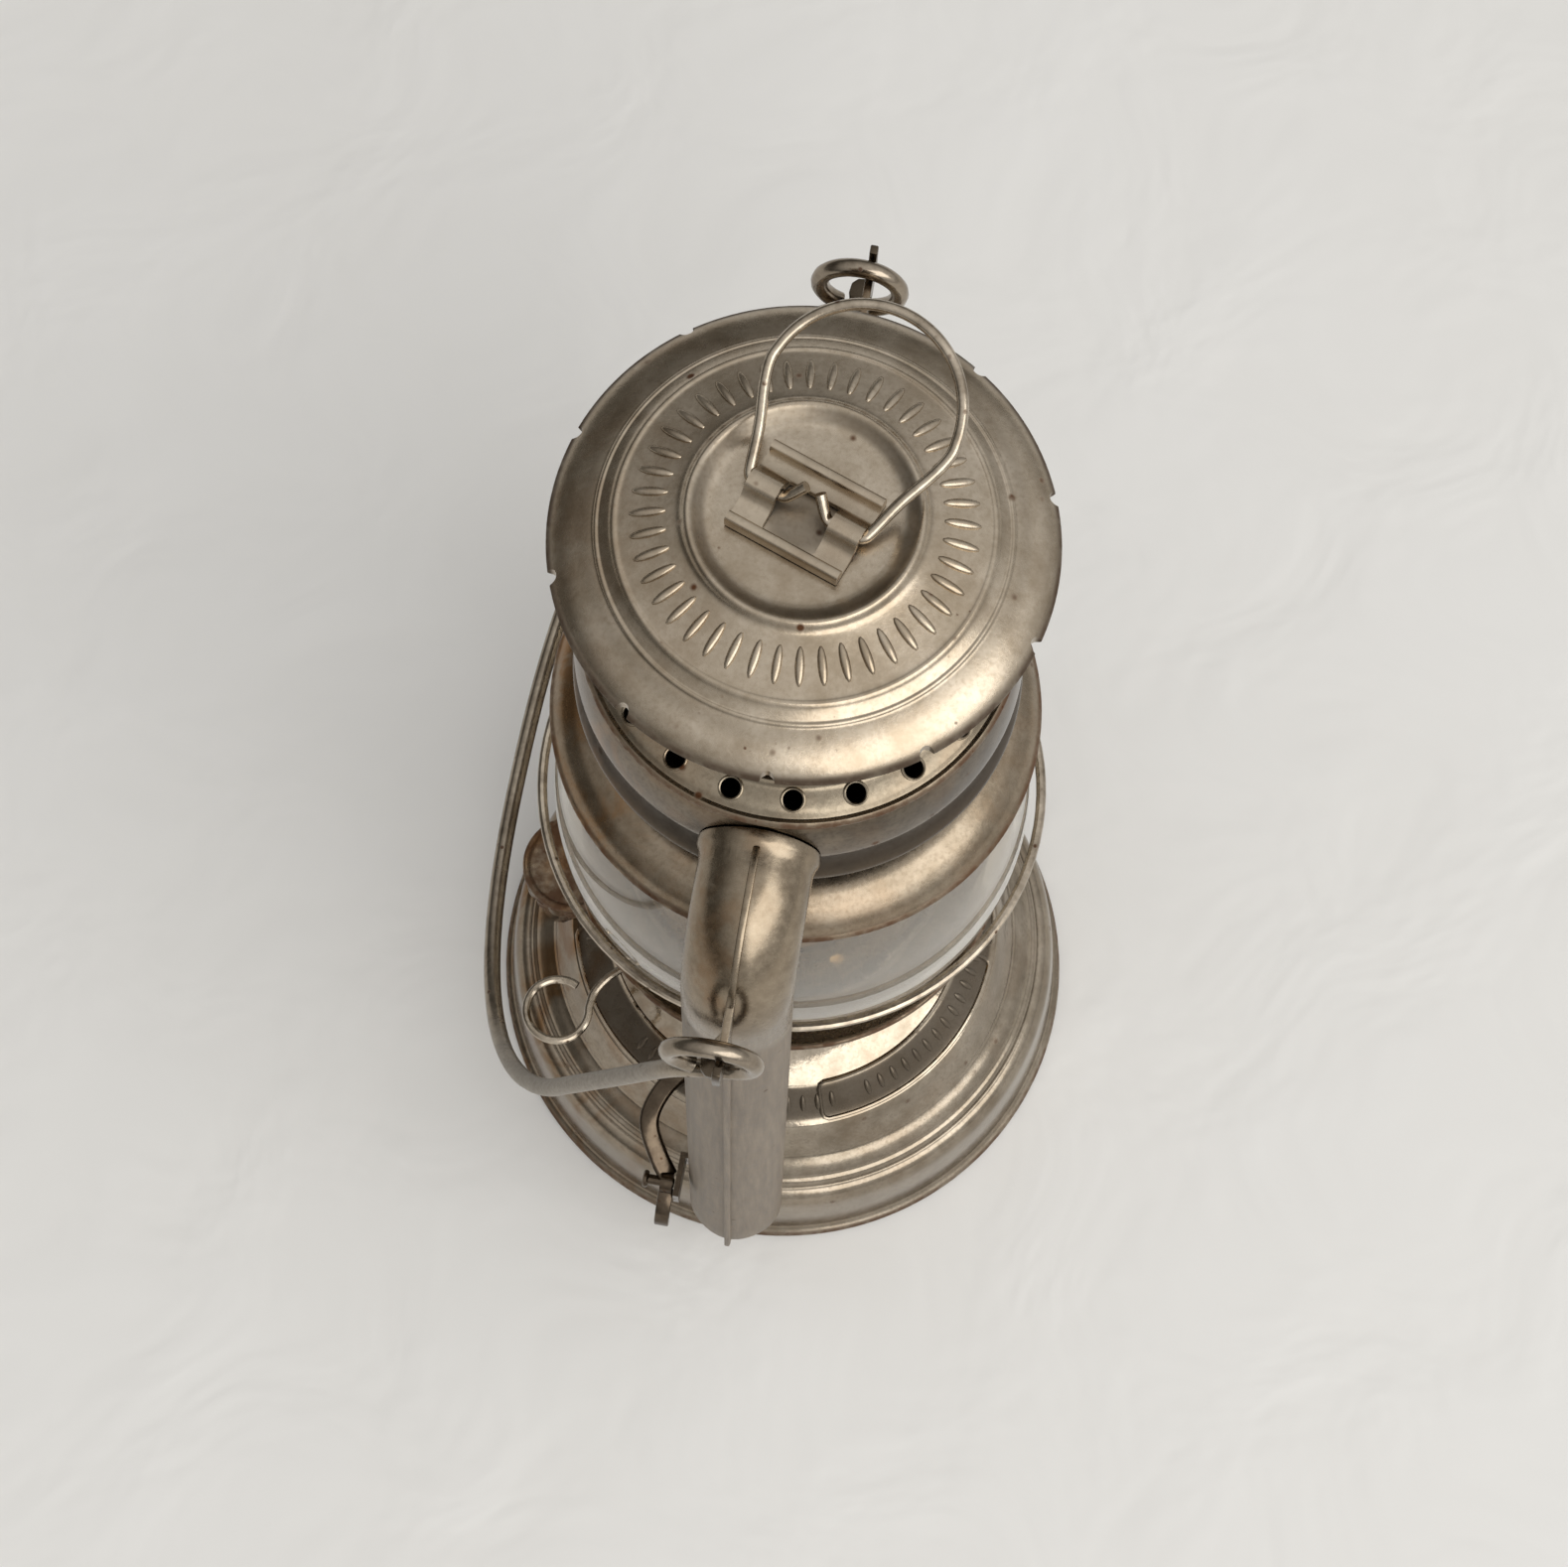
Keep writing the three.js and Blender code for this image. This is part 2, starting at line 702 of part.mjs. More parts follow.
function hood() {
  let shell = revolve(walled(hoodOutline, sheetWall), hoodSegments);
  for (let i = 0; i < notchCount; i += 1) {
    const turn = notchTurn + wholeTurn * i / notchCount;
    const reach = hoodRadius - notchRadius / 3;
    const [x, y] = [reach * Math.cos(turn), reach * Math.sin(turn)];
    const low = [x, y, hoodRim - cutOverrun];
    const notch = rodSolid(notchRadius, low, [x, y, hoodRim + cutOverrun], holeSides);
    shell = shell.subtract(notch);
  }
  return shell;
}

function chimney() {
  const low = capCrown + seatGap;
  const inner = chimneyRadius - chimneyWall;
  let wall = revolve([[inner, low], [chimneyRadius, low], [chimneyRadius, hoodDishRidge],
    [inner, hoodDishRidge]], burnerSegments);
  for (let i = 0; i < chimneyWindows / 2; i += 1) {
    const turn = windowTurn + wholeTurn / degree * i / chimneyWindows;
    const half = windowWidth / 2;
    const cutter = boxSolid([-chimneyRadius - cutOverrun, -half, windowSill],
      [chimneyRadius + cutOverrun, half, hoodDishRidge + cutOverrun]);
    wall = wall.subtract(cutter.rotate([0, 0, turn]));
  }
  const under = walled(hoodOutline, -(sheetWall + seatGap)).slice(hoodOutline.length).reverse()
    .map(([r, z]) => [r, z - 2 * (sheetWall + seatGap)]);
  const middle = under.filter(([r]) => r < hoodRadius - 2 * sheetWall);
  const above = regionAbove(middle, hoodDishRidge + cutOverrun);
  return wall.subtract(revolve(above, burnerSegments));
}

function globeCap() {
  const fall = capCrown - capEdge;
  const outline = [
    [capEdgeRadius, capEdge], [capEdgeRadius - sheetWall / 2, capEdge + sheetWall],
    ...capSlopeShares.map(([across, up]) => [capEdgeRadius - fall * across, capEdge + fall * up]),
    [capSeatRadius, capCrown - sheetWall / 4], [capSeatRadius - fall * capSeatStepShare, capCrown],
    [chimneyRadius - chimneyWall - seatGap, capCrown],
  ];
  return revolve(walled(outline, sheetWall), crownSegments);
}

function hoodSpring() {
  const reach = (chimneyRadius + seatGap + springWire) / Math.cos(halfTurn / springStepsPerTurn);
  const low = capCrown + seatGap + springWire;
  const high = plateCrest - sheetWall - seatGap - springWire;
  const steps = springTurns * springStepsPerTurn;
  const coil = arc(steps, 0, steps, (i) => {
    const turn = wholeTurn * i / springStepsPerTurn;
    const height = low + (high - low) * i / steps;
    return new THREE.Vector3(reach * Math.cos(turn), reach * Math.sin(turn), height);
  });
  console.log('least gap between spring turns, mm:', (leastSelfGap(coil, springWire)).toFixed(2));
  return wire(coil, springWire, springSides);
}

// The least distance between turns of a coil, less the wire, measured on its points.
function leastSelfGap(points, radius) {
  let least = Infinity;
  points.forEach((p, i) => {
    for (let j = i + springStepsPerTurn / 2; j < points.length; j += 1) {
      least = Math.min(least, p.distanceTo(points[j]) - 2 * radius);
    }
  });
  return least;
}

// Pull ring and clip. They are drawn along X, with the ring towards +Y, then turned.

const onHood = (solid) => solid.rotate([0, 0, clipTurn / degree]).translate([0, 0, hoodDish]);
const ringPivot = clipWall + seatGap + ringPivotRise - ringWire;

function hoodClip() {
  const low = seatGap;
  const top = low + clipWall;
  const tunnelRadius = ringWire + seatGap;
  const strapRadius = tunnelRadius + clipWall;
  let clip = boxSolid([-clipLength / 2, -clipWidth / 2, low], [clipLength / 2, clipWidth / 2, top]);
  for (const side of [-1, 1]) {
    const edge = side * (clipWidth / 2 - clipWall / 2);
    clip = clip.add(boxSolid([-clipLength / 2, edge - clipWall / 2, low],
      [clipLength / 2, edge + clipWall / 2, top + clipFlange]));
    const outer = side * (clipLength / 2 - tunnelInset);
    const inner = outer - side * tunnelLength;
    const below = boxSolid([-clipLength, -clipWidth, -clipLength], [clipLength, clipWidth, low]);
    const strap = rodSolid(strapRadius, [outer, 0, ringPivot], [inner, 0, ringPivot], rodSides);
    clip = clip.add(strap.subtract(below));
  }
  const tunnel = rodSolid(tunnelRadius, [-clipLength, 0, ringPivot], [clipLength, 0, ringPivot], pinSides);
  clip = clip.subtract(tunnel);
  return onHood(clip.subtract(boxSolid([-clipWindow / 2, -clipWindowDepth / 2, low - cutOverrun],
    [clipWindow / 2, clipWindowDepth / 2, top + cutOverrun])));
}

// Half of the ring's line: a bent-up end, a foot along the pivot, then the side and half the bow.
function ringHalfLine() {
  const corner = ringCornerRadius;
  const bowCentre = ringLength - ringHalfWidth;
  const start = [
    [ringEndGap, 0, ringEndRise], [ringEndGap, 0, ringEndFoot], [ringEndGap + ringWire, 0, 0],
    [ringHalfFoot - corner, 0, 0], [ringHalfFoot - corner * ringCornerShare, corner * ringCornerShare, 0],
    [ringHalfFoot, corner, 0],
    ...ringSideShares.map(([across, along]) => [
      ringHalfFoot + (ringHalfWidth - ringHalfFoot) * across, bowCentre * along, 0]),
  ];
  const bow = arc(ringBowSteps, 0, halfTurn / 2, (turn) => [
    ringHalfWidth * Math.cos(turn), bowCentre + ringHalfWidth * Math.sin(turn), 0]);
  return [...start, ...bow];
}

function pullRing() {
  const right = ringHalfLine();
  const left = right.slice(0, -1).reverse().map(([x, y, z]) => [-x, y, z]);
  const line = [...right, ...left].map(([x, y, z], i) => {
    const isEnd = i < 2 || i > right.length + left.length - 3;
    const point = new THREE.Vector3(x, y, z);
    if (!isEnd) point.applyAxisAngle(new THREE.Vector3(1, 0, 0), ringLean);
    return point.add(new THREE.Vector3(0, 0, ringPivot));
  });
  return onHood(wire(line, ringWire, ringSides));
}

// Globe, guard and globe plate

function globe() {
  const outline = globeOutlineShares.map(([swell, rise]) => {
    const neck = globeBottomRadius + (globeTopRadius - globeBottomRadius) * rise;
    return [neck + (globeBellyRadius - neck) * swell, globeBottom + (globeTop - globeBottom) * rise];
  });
  return revolve(walled(outline, globeWall), globeSegments);
}

// The guard ring fits between the tubes and just round the globe's belly.
function guardRing() {
  const reach = tubeReachAt(guardHeight) - tubeHalfDepth - guardWire - seatGap;
  const points = arc(guardSteps - 1, 0, guardSteps - 1, (i) => {
    const turn = wholeTurn * i / guardSteps;
    return new THREE.Vector3(reach * Math.cos(turn), reach * Math.sin(turn), guardHeight);
  });
  return wire(points, guardWire, guardSides, true);
}

function globePlate() {
  const outline = [
    [plateEdgeRadius, plateEdge - sheetWall], [plateEdgeRadius + sheetWall / 2, plateEdge],
    [plateEdgeRadius - sheetWall / 2, plateEdge + sheetWall / 2],
    [plateEdgeRadius - 2 * sheetWall, plateEdge - sheetWall],
    [globeBottomRadius + 2 * sheetWall, plateSeat + sheetWall],
    [globeBottomRadius + sheetWall, plateSeat + sheetWall],
    [globeBottomRadius, globeBottom - seatGap], [plateSeatInner, globeBottom - seatGap],
    [plateHoleRadius + 2 * sheetWall, plateDish], [plateHoleRadius, plateDish],
  ];
  let plate = revolve(walled(outline, sheetWall), crownSegments);
  for (let i = 0; i < plateVentCount; i += 1) {
    const turn = (halfTurn + wholeTurn * i) / plateVentCount;
    const [x, y] = [plateVentReach * Math.cos(turn), plateVentReach * Math.sin(turn)];
    const low = [x, y, plateDish - cutOverrun];
    plate = plate.subtract(rodSolid(plateVentRadius, low, [x, y, globeBottom], smallHoleSides));
  }
  return plate.add(liftFoot());
}

// The strap under the globe plate that rests above the lever's tip.
const leverTop = leverTipHeight + leverStripWidth / 2;

function liftFoot() {
  const low = leverTop + slideGap;
  const out = footReach;
  const top = plateSeat + 2 * sheetWall;
  const half = footStrapWidth / 2;
  const inside = out - footStrapWall;
  const strap = boxSolid([inside, -half, low], [out, half, top]);
  const sole = boxSolid([inside, -half, low], [inside + footLength, half, low + footStrapWall]);
  return strap.add(sole).rotate([0, 0, footTurn / degree]);
}

// Burner

function burnerBody() {
  const low = tankHeight + seatGap;
  const inner = burnerRadius - burnerWall;
  const outline = [
    [inner, tankHeight - burnerSkirt], [burnerRadius, tankHeight - burnerSkirt], [burnerRadius, low],
    [burnerFlangeRadius, low], [burnerFlangeRadius, low + burnerFlange],
    [burnerRadius + burnerWall, low + burnerCollarRise], [burnerRadius, low + burnerWaistRise],
    [burnerRadius, burnerTop - burnerWall], [burnerRadius - burnerWall, burnerTop],
    [0, burnerTop], [0, burnerTop - burnerWall], [inner, burnerTop - 2 * burnerWall],
  ];
  const [w, d] = [wickTubeWidth / 2 + seatGap, wickTubeDepth / 2 + seatGap];
  const wickSlot = boxSolid([-w, -d, burnerTop - cutOverrun], [w, d, burnerTop + cutOverrun]);
  const shaftHole = rodSolid(raiserWire + seatGap, [0, -raiserOffset, raiserHeight],
    [burnerRadius + cutOverrun, -raiserOffset, raiserHeight], pinSides);
  return alongRaiser(revolve(outline, burnerSegments).subtract(wickSlot).subtract(shaftHole));
}

// The raiser's shaft lies along the wick, its spur wheels just short of the wick's face.
const raiserOffset = wickDepth / 2 + seatGap + spurRadius + spurTooth;
const alongRaiser = (solid) => solid.rotate([0, 0, raiserTurn / degree]);

function burnerCone() {
  const low = burnerTop + seatGap;
  const profile = arc(coneSteps, 0, halfTurn / 2, (turn) => [
    coneTopRadius + (burnerRadius - coneTopRadius) * Math.cos(turn) ** coneSwellPower,
    low + burnerWall + coneHeight * Math.sin(turn) * coneShoulderShare,
  ]);
  const outline = [[burnerRadius + burnerWall, low], [burnerRadius + burnerWall, low + burnerWall],
    ...profile, [coneTopRadius / 2, low + coneHeight + burnerWall], [0, low + coneHeight + burnerWall]];
  const section = walled(outline, burnerWall).map(([r, z]) => [r, Math.max(z, low)]);
  const shell = revolve(section, burnerSegments);
  const slot = boxSolid([-coneSlotLength / 2, -coneSlotWidth / 2, low + coneHeight / 2],
    [coneSlotLength / 2, coneSlotWidth / 2, low + 2 * coneHeight]);
  return alongRaiser(shell.subtract(slot));
}

function wickTube() {
  const [w, d] = [wickTubeWidth / 2, wickTubeDepth / 2];
  const outer = boxSolid([-w, -d, wickTubeBottom], [w, d, wickTubeTop]);
  const bore = boxSolid([-w + wickTubeWall, -d + wickTubeWall, wickTubeBottom - cutOverrun],
    [w - wickTubeWall, d - wickTubeWall, wickTubeTop + cutOverrun]);
  const window = boxSolid([-w + 2 * wickTubeWall, -wickTubeDepth, raiserHeight - wickWindow / 2],
    [w - 2 * wickTubeWall, 0, raiserHeight + wickWindow / 2]);
  return alongRaiser(outer.subtract(bore).subtract(window));
}

function wick() {
  const [w, d] = [wickWidth / 2, wickDepth / 2];
  return alongRaiser(boxSolid([-w, -d, wickBottom], [w, d, wickTop]));
}

function spurWheel(x) {
  const ringAt = (place) => arc(2 * spurTeeth - 1, 0, 2 * spurTeeth - 1, (i) => {
    const turn = (halfTurn * i + halfTurn / 2) / spurTeeth;
    const reach = spurRadius + (i % 2 ? 0 : spurTooth);
    return new THREE.Vector3(place, reach * Math.cos(turn), reach * Math.sin(turn));
  });
  return loft([ringAt(x - spurWidth / 2), ringAt(x + spurWidth / 2)]);
}

// Shaft, spur wheels and the finger loop, one bent wire. Drawn along +X on its own axis.
function wickRaiser() {
  const line = [new THREE.Vector3(-raiserInner, 0, 0), new THREE.Vector3(raiserStraight, 0, 0)];
  const neck = raiserLoopReach - raiserLoopRadius;
  line.push(new THREE.Vector3((raiserStraight + neck) / 2, raiserNeckRise, 0));
  arc(raiserLoopSteps, raiserLoopStart, raiserLoopEnd, (turn) => {
    line.push(new THREE.Vector3(raiserLoopReach + raiserLoopRadius * Math.cos(turn),
      raiserLoopRadius * Math.sin(turn), 0));
  });
  let raiser = wire(line, raiserWire, raiserSides);
  for (const side of [-1, 1]) raiser = raiser.add(spurWheel(side * spurSpread));
  return alongRaiser(raiser.translate([0, -raiserOffset, raiserHeight]));
}

// Lift lever, its pin and the bracket on the front tube

const leverEyeX = -(leverPivotInner + bracketEarWall + leverEyeOffset);

// Flat strip on edge, swept round the tube's side from the pivot to the tip under the lift foot.
function leverStrip() {
  const rise = leverTipHeight - leverPivotHeight;
  const eyeEdge = leverPivotReach - leverEyeRadius / 2;
  const path = new THREE.CatmullRomCurve3([
    [leverEyeX, eyeEdge],
    [(leverEyeX + leverBulge) / 2, eyeEdge - leverFirstBend],
    [leverBulge, leverPivotReach - leverBulgeReach],
    [leverBulge * leverReturnShare, leverPivotReach - leverReturnReach],
    [(leverBulge + leverTipX) / 2, leverTipReach + leverLastBend],
    [leverTipX, leverTipReach],
  ].map(([x, reach], i) => new THREE.Vector3(x, -reach, leverPivotHeight + rise * leverRiseShares[i])));
  const rings = arc(leverSteps, 0, 1, (share) => {
    const point = path.getPointAt(share);
    const along = path.getTangentAt(share);
    const side = new THREE.Vector3(0, 0, 1).cross(along).normalize();
    const up = new THREE.Vector3(0, 0, 1);
    return [[1, 1], [-1, 1], [-1, -1], [1, -1]].map(([a, b]) => point.clone()
      .addScaledVector(side, a * leverStripThickness / 2).addScaledVector(up, b * leverStripWidth / 2));
  });
  return loft(rings);
}

function liftLever() {
  const half = leverStripThickness;
  const eye = rodSolid(leverEyeRadius, [leverEyeX - half, -leverPivotReach, leverPivotHeight],
    [leverEyeX + half, -leverPivotReach, leverPivotHeight], eyeSides);
  const tabTop = leverPivotHeight - leverEyeRadius / 2;
  const out = (share) => -leverPivotReach - leverTabLength * share;
  const down = (share) => tabTop - leverTabLength * share;
  const { knee, end, inner, drop, tip } = leverTabShares;
  const tab = upright([
    [out(0), down(0)], [out(knee), down(drop)], [out(end), down(tip)],
    [out(end) + leverTabThickness, down(tip) - leverTabThickness / 2],
    [out(inner), down(drop) - leverTabThickness], [out(0), down(0) - leverTabThickness],
  ], leverTabWidth, leverEyeX);
  const bore = rodSolid(leverPinRadius + seatGap,
    [leverEyeX - leverTabWidth, -leverPivotReach, leverPivotHeight],
    [leverEyeX + leverTabWidth, -leverPivotReach, leverPivotHeight], pinSides);
  return leverStrip().add(eye).add(tab).subtract(bore);
}

function leverPin() {
  const inner = -(leverPivotInner + bracketEarWall + seatGap);
  const place = (x) => [x, -leverPivotReach, leverPivotHeight];
  const outer = inner - leverPinLength;
  const shaft = rodSolid(leverPinRadius, place(outer), place(inner), pinSides);
  const head = rodSolid(leverPinHeadRadius, place(outer), place(outer + leverPinHead), pinSides);
  return shaft.add(head);
}

// A folded ear against the side of the front tube, which carries the pin.
function leverBracket() {
  const low = leverPivotHeight - bracketEarHeight / 2;
  const high = leverPivotHeight + bracketEarHeight / 2;
  const back = -leverPivotReach + bracketEarDepth;
  const ear = boxSolid(
    [-(leverPivotInner + bracketEarWall), -leverPivotReach - bracketEarDepth / 2, low],
    [-leverPivotInner, back, high]);
  const foot = boxSolid([-leverPivotInner, back - bracketEarWall, low], [-tubeTopHalfWidth, back, high]);
  return ear.add(foot).subtract(tubeOuter(seatGap));
}

// Bail

function bailEye(side) {
  const points = arc(bailEyeSteps - 1, 0, bailEyeSteps - 1, (i) => {
    const turn = wholeTurn * i / bailEyeSteps;
    const [x, z] = [bailEyeRadius * Math.cos(turn), bailEyeRadius * Math.sin(turn)];
    return new THREE.Vector3(x, side * bailReach, z);
  });
  return wire(points, bailWire, bailSides, true);
}

// The bow is drawn hanging straight down, then swung out to the side where it rests.
function bailBow() {
  const points = [];
  const bend = bailDepth - bailStraight;
  points.push(new THREE.Vector3(0, -bailReach, -bailEyeRadius));
  arc(bailBowSteps, 0, halfTurn, (turn) => {
    const across = Math.sign(Math.cos(turn)) * Math.abs(Math.cos(turn)) ** (2 / bailCurvePower);
    const down = Math.abs(Math.sin(turn)) ** (2 / bailCurvePower);
    points.push(new THREE.Vector3(0, -bailReach * across, -(bailStraight + bend * down)));
  });
  points.push(new THREE.Vector3(0, bailReach, -bailEyeRadius));
  return wire(points, bailWire, bailSides);
}

function bail() {
  const whole = bailBow().add(bailEye(-1)).add(bailEye(1));
  return whole.rotate([0, (halfTurn / 2 - bailHang) / degree, 0]).translate([bailShift, 0, bailHeight]);
}

// Assembly

const lantern = new THREE.Group();

const frontTube = tube();
const frame = new THREE.Group();
frame.add(
  piece('tank_shell', brightTin, tankShell()),
  piece('tank_bottom', brightTin, tankBottom()),
  piece('filler_neck', brightTin, fillerNeck()),
  piece('front_tube', dullZinc, frontTube),
  piece('rear_tube', dullZinc, frontTube.mirror([0, 1, 0])),
  piece('crown_shell', brightTin, crownShell()),
  piece('crown_plate', brightTin, crownPlate()),
  piece('guard_ring', wireSteel, guardRing()),
  piece('hood_spring', wireSteel, hoodSpring()),
  piece('burner_body', brass, burnerBody()),
  piece('burner_cone', brass, burnerCone()),
  piece('wick_tube', brass, wickTube()),
  piece('lever_bracket', wireSteel, leverBracket()),
  piece('lever_pin', wireSteel, leverPin()),
);

const filler = new THREE.Group();
filler.add(
  piece('filler_seal', cork, fillerSeal()),
  piece('filler_cap', brightTin, fillerCap()),
);

const hoodGroup = new THREE.Group();
hoodGroup.add(
  piece('hood', brightTin, hood()),
  piece('chimney', brightTin, chimney()),
  piece('globe_cap', brightTin, globeCap()),
  piece('hood_clip', brightTin, hoodClip()),
  piece('pull_ring', wireSteel, pullRing()),
);

const globeGroup = new THREE.Group();
globeGroup.add(
  piece('globe', clearGlass, globe()),
  piece('globe_plate', brightTin, globePlate()),
  piece('lift_lever', wireSteel, liftLever()),
);

const wickGroup = new THREE.Group();
wickGroup.add(
  piece('wick', cotton, wick()),
  piece('wick_raiser', wireSteel, wickRaiser()),
);

lantern.add(frame, filler, hoodGroup, globeGroup, wickGroup, piece('bail', wireSteel, bail()));

export default lantern;
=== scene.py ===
# Kerosene lantern, modelled over its CAD frame.
# Lengths below are millimetres, as on a drawing, and become metres where a piece is made.

from math import atan, copysign, cos, pi, radians as rad, sin, tan

import bpy
from mathutils import Matrix, Vector


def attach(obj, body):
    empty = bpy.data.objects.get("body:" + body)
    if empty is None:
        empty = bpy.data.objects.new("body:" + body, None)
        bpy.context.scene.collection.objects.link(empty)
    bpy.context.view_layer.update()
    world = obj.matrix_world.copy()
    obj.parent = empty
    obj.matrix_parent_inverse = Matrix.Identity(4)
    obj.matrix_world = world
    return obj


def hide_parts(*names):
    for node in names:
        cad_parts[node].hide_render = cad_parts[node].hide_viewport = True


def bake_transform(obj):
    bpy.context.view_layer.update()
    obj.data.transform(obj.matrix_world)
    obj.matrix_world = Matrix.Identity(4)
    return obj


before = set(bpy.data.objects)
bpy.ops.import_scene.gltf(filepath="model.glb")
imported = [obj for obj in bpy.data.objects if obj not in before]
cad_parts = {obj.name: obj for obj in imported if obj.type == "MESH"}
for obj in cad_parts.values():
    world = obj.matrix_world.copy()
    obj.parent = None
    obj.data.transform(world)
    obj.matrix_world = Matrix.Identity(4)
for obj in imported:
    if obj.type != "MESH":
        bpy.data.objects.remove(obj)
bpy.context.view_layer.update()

MM = 0.001
FULL = 2 * pi
RIGHT_ANGLE = pi / 2
LATHE_STEPS = 160
SHEET, THIN_SHEET, CAP_SHEET = 0.8, 0.6, 0.4
GAP = 0.3
SAME_POINT = 0.002


# Drawing lines

def arc(count, start, end, place):
    return [place(start + (end - start) * i / count) for i in range(count + 1)]


def flowing(points, per=4):
    """The same points with more between them, on one smooth curve through all."""
    places = [Vector(p) for p in points]
    ends = [2 * places[0] - places[1], *places, 2 * places[-1] - places[-2]]
    line = []
    for i in range(1, len(ends) - 2):
        a, b, c, d = ends[i - 1:i + 3]
        for k in range(per):
            t = k / per
            line.append(0.5 * (2 * b + (c - a) * t + (2 * a - 5 * b + 4 * c - d) * t * t
                               + (3 * b - a - 3 * c + d) * t ** 3))
    return [*line, places[-1]]


def smoothed(outline, per=3):
    """A section's outline with more points, as plain pairs."""
    return [tuple(p) for p in flowing(outline, per)]


def on_circle(radius, angle, height):
    return (radius * cos(angle), radius * sin(angle), height)


def walled(outline, wall):
    """The closed section of a sheet: its outer line, and back along its inner side."""
    inner = []
    for i, (r, z) in enumerate(outline):
        before, after = outline[max(i - 1, 0)], outline[min(i + 1, len(outline) - 1)]
        run = Vector((after[0] - before[0], after[1] - before[1])).normalized()
        point = Vector((r - run.y * wall, z + run.x * wall))
        clear = min((point - Vector(p)).length for p in outline)
        if point.x > 0 and clear > 0.92 * wall:
            inner.append(tuple(point))
    return [tuple(p) for p in outline] + inner[::-1]


def domed(outline, wall):
    """The section of a sheet that closes over the axis, from under it round its rim and back."""
    section = walled(outline, wall)
    count = len(outline)
    return [(0, outline[-1][1] - wall), *section[count:], *section[:count]]


def lid(outline, drop):
    """The section of a pressed lid: its underside from the axis out, then its rim and its top."""
    rim = outline[0][0]
    return [*[(r, z - drop) for r, z in outline[::-1] if r < rim - 0.05], *outline]


def height_on(outline, reach):
    """Height of a falling outline at one radius."""
    for (r1, z1), (r2, z2) in zip(outline, outline[1:]):
        if min(r1, r2) <= reach <= max(r1, r2) and r1 != r2:
            return z1 + (z2 - z1) * (reach - r1) / (r2 - r1)
    return outline[-1][1]


def spun(points, angle, up=0.0):
    """Points turned about the upright axis, and raised."""
    turn = Matrix.Rotation(angle, 3, "Z")
    return [turn @ Vector(p) + Vector((0, 0, up)) for p in points]


# Bench tools: each leaves its piece selected and in object mode

def put_down():
    bpy.ops.object.select_all(action="DESELECT")


def pick(piece):
    put_down()
    piece.select_set(True)
    bpy.context.view_layer.objects.active = piece
    return piece


def take_all():
    bpy.ops.mesh.select_all(action="SELECT")


def edit(piece):
    pick(piece)
    bpy.ops.object.mode_set(mode="EDIT")
    take_all()


def leave():
    bpy.ops.object.mode_set(mode="OBJECT")
    return bpy.context.object


def laid(piece, angle, axis, way=(0, 0, 0)):
    """Turns a whole piece about an axis through the origin, and then moves it."""
    edit(piece)
    tip(angle, axis)
    move(way)
    return leave()


def named(piece, name):
    piece.name = piece.data.name = name
    return piece


def modified(piece, kind, **settings):
    """Changes a piece for good by one modifier."""
    pick(piece)
    change = piece.modifiers.new(kind, kind)
    for name, value in settings.items():
        setattr(change, name, value)
    bpy.ops.object.modifier_apply(modifier=change.name)
    return piece


def move(way):
    """Moves what is selected in edit mode."""
    bpy.ops.transform.translate(value=Vector(way) * MM)


def tip(angle, axis):
    """Turns what is selected in edit mode about an axis through the origin."""
    bpy.ops.transform.rotate(value=-angle, orient_axis=axis, center_override=(0, 0, 0))


def stretch(by):
    """Resizes what is selected in edit mode from the origin."""
    bpy.ops.transform.resize(value=by, center_override=(0, 0, 0))


def chain(name, points, closed=False):
    """Edges from point to point, drawn by extruding one vertex. It stays in edit mode."""
    put_down()
    bpy.ops.mesh.primitive_plane_add(size=MM)
    places = [Vector(p) * MM for p in points]
    if closed:
        places.append(places[0])
    piece = named(bpy.context.object, name)
    edit(piece)
    bpy.ops.mesh.merge(type="CENTER")
    bpy.ops.transform.translate(value=places[0])
    for before, after in zip(places, places[1:]):
        bpy.ops.mesh.extrude_vertices_move(TRANSFORM_OT_translate={"value": after - before})
    take_all()
    bpy.ops.mesh.remove_doubles(threshold=SAME_POINT * MM)
    return piece


def tidy_skin():
    """Merges doubles and points all faces outwards, in edit mode."""
    take_all()
    bpy.ops.mesh.remove_doubles(threshold=SAME_POINT * MM)
    bpy.ops.mesh.normals_make_consistent(inside=False)
    take_all()


def turned(name, outline, steps=LATHE_STEPS, closed=True):
    """A section of radius and height points, turned on the lathe."""
    chain(name, [(r, 0, z) for r, z in outline], closed=closed)
    bpy.ops.mesh.spin(steps=steps, angle=FULL, center=(0, 0, 0), axis=(0, 0, 1))
    tidy_skin()
    return leave()


def pressed(name, outline, wall=THIN_SHEET):
    """A round piece of sheet, turned from its smoothed outer line."""
    return turned(name, walled(smoothed(outline), wall))


def around(count, span=None):
    """Repeats what is selected in edit mode round the upright axis, over a full turn or a span."""
    angle = FULL * (count - 1) / count if span is None else span
    bpy.ops.mesh.spin(steps=count - 1, dupli=True, angle=angle, center=(0, 0, 0), axis=(0, 0, 1))
    take_all()


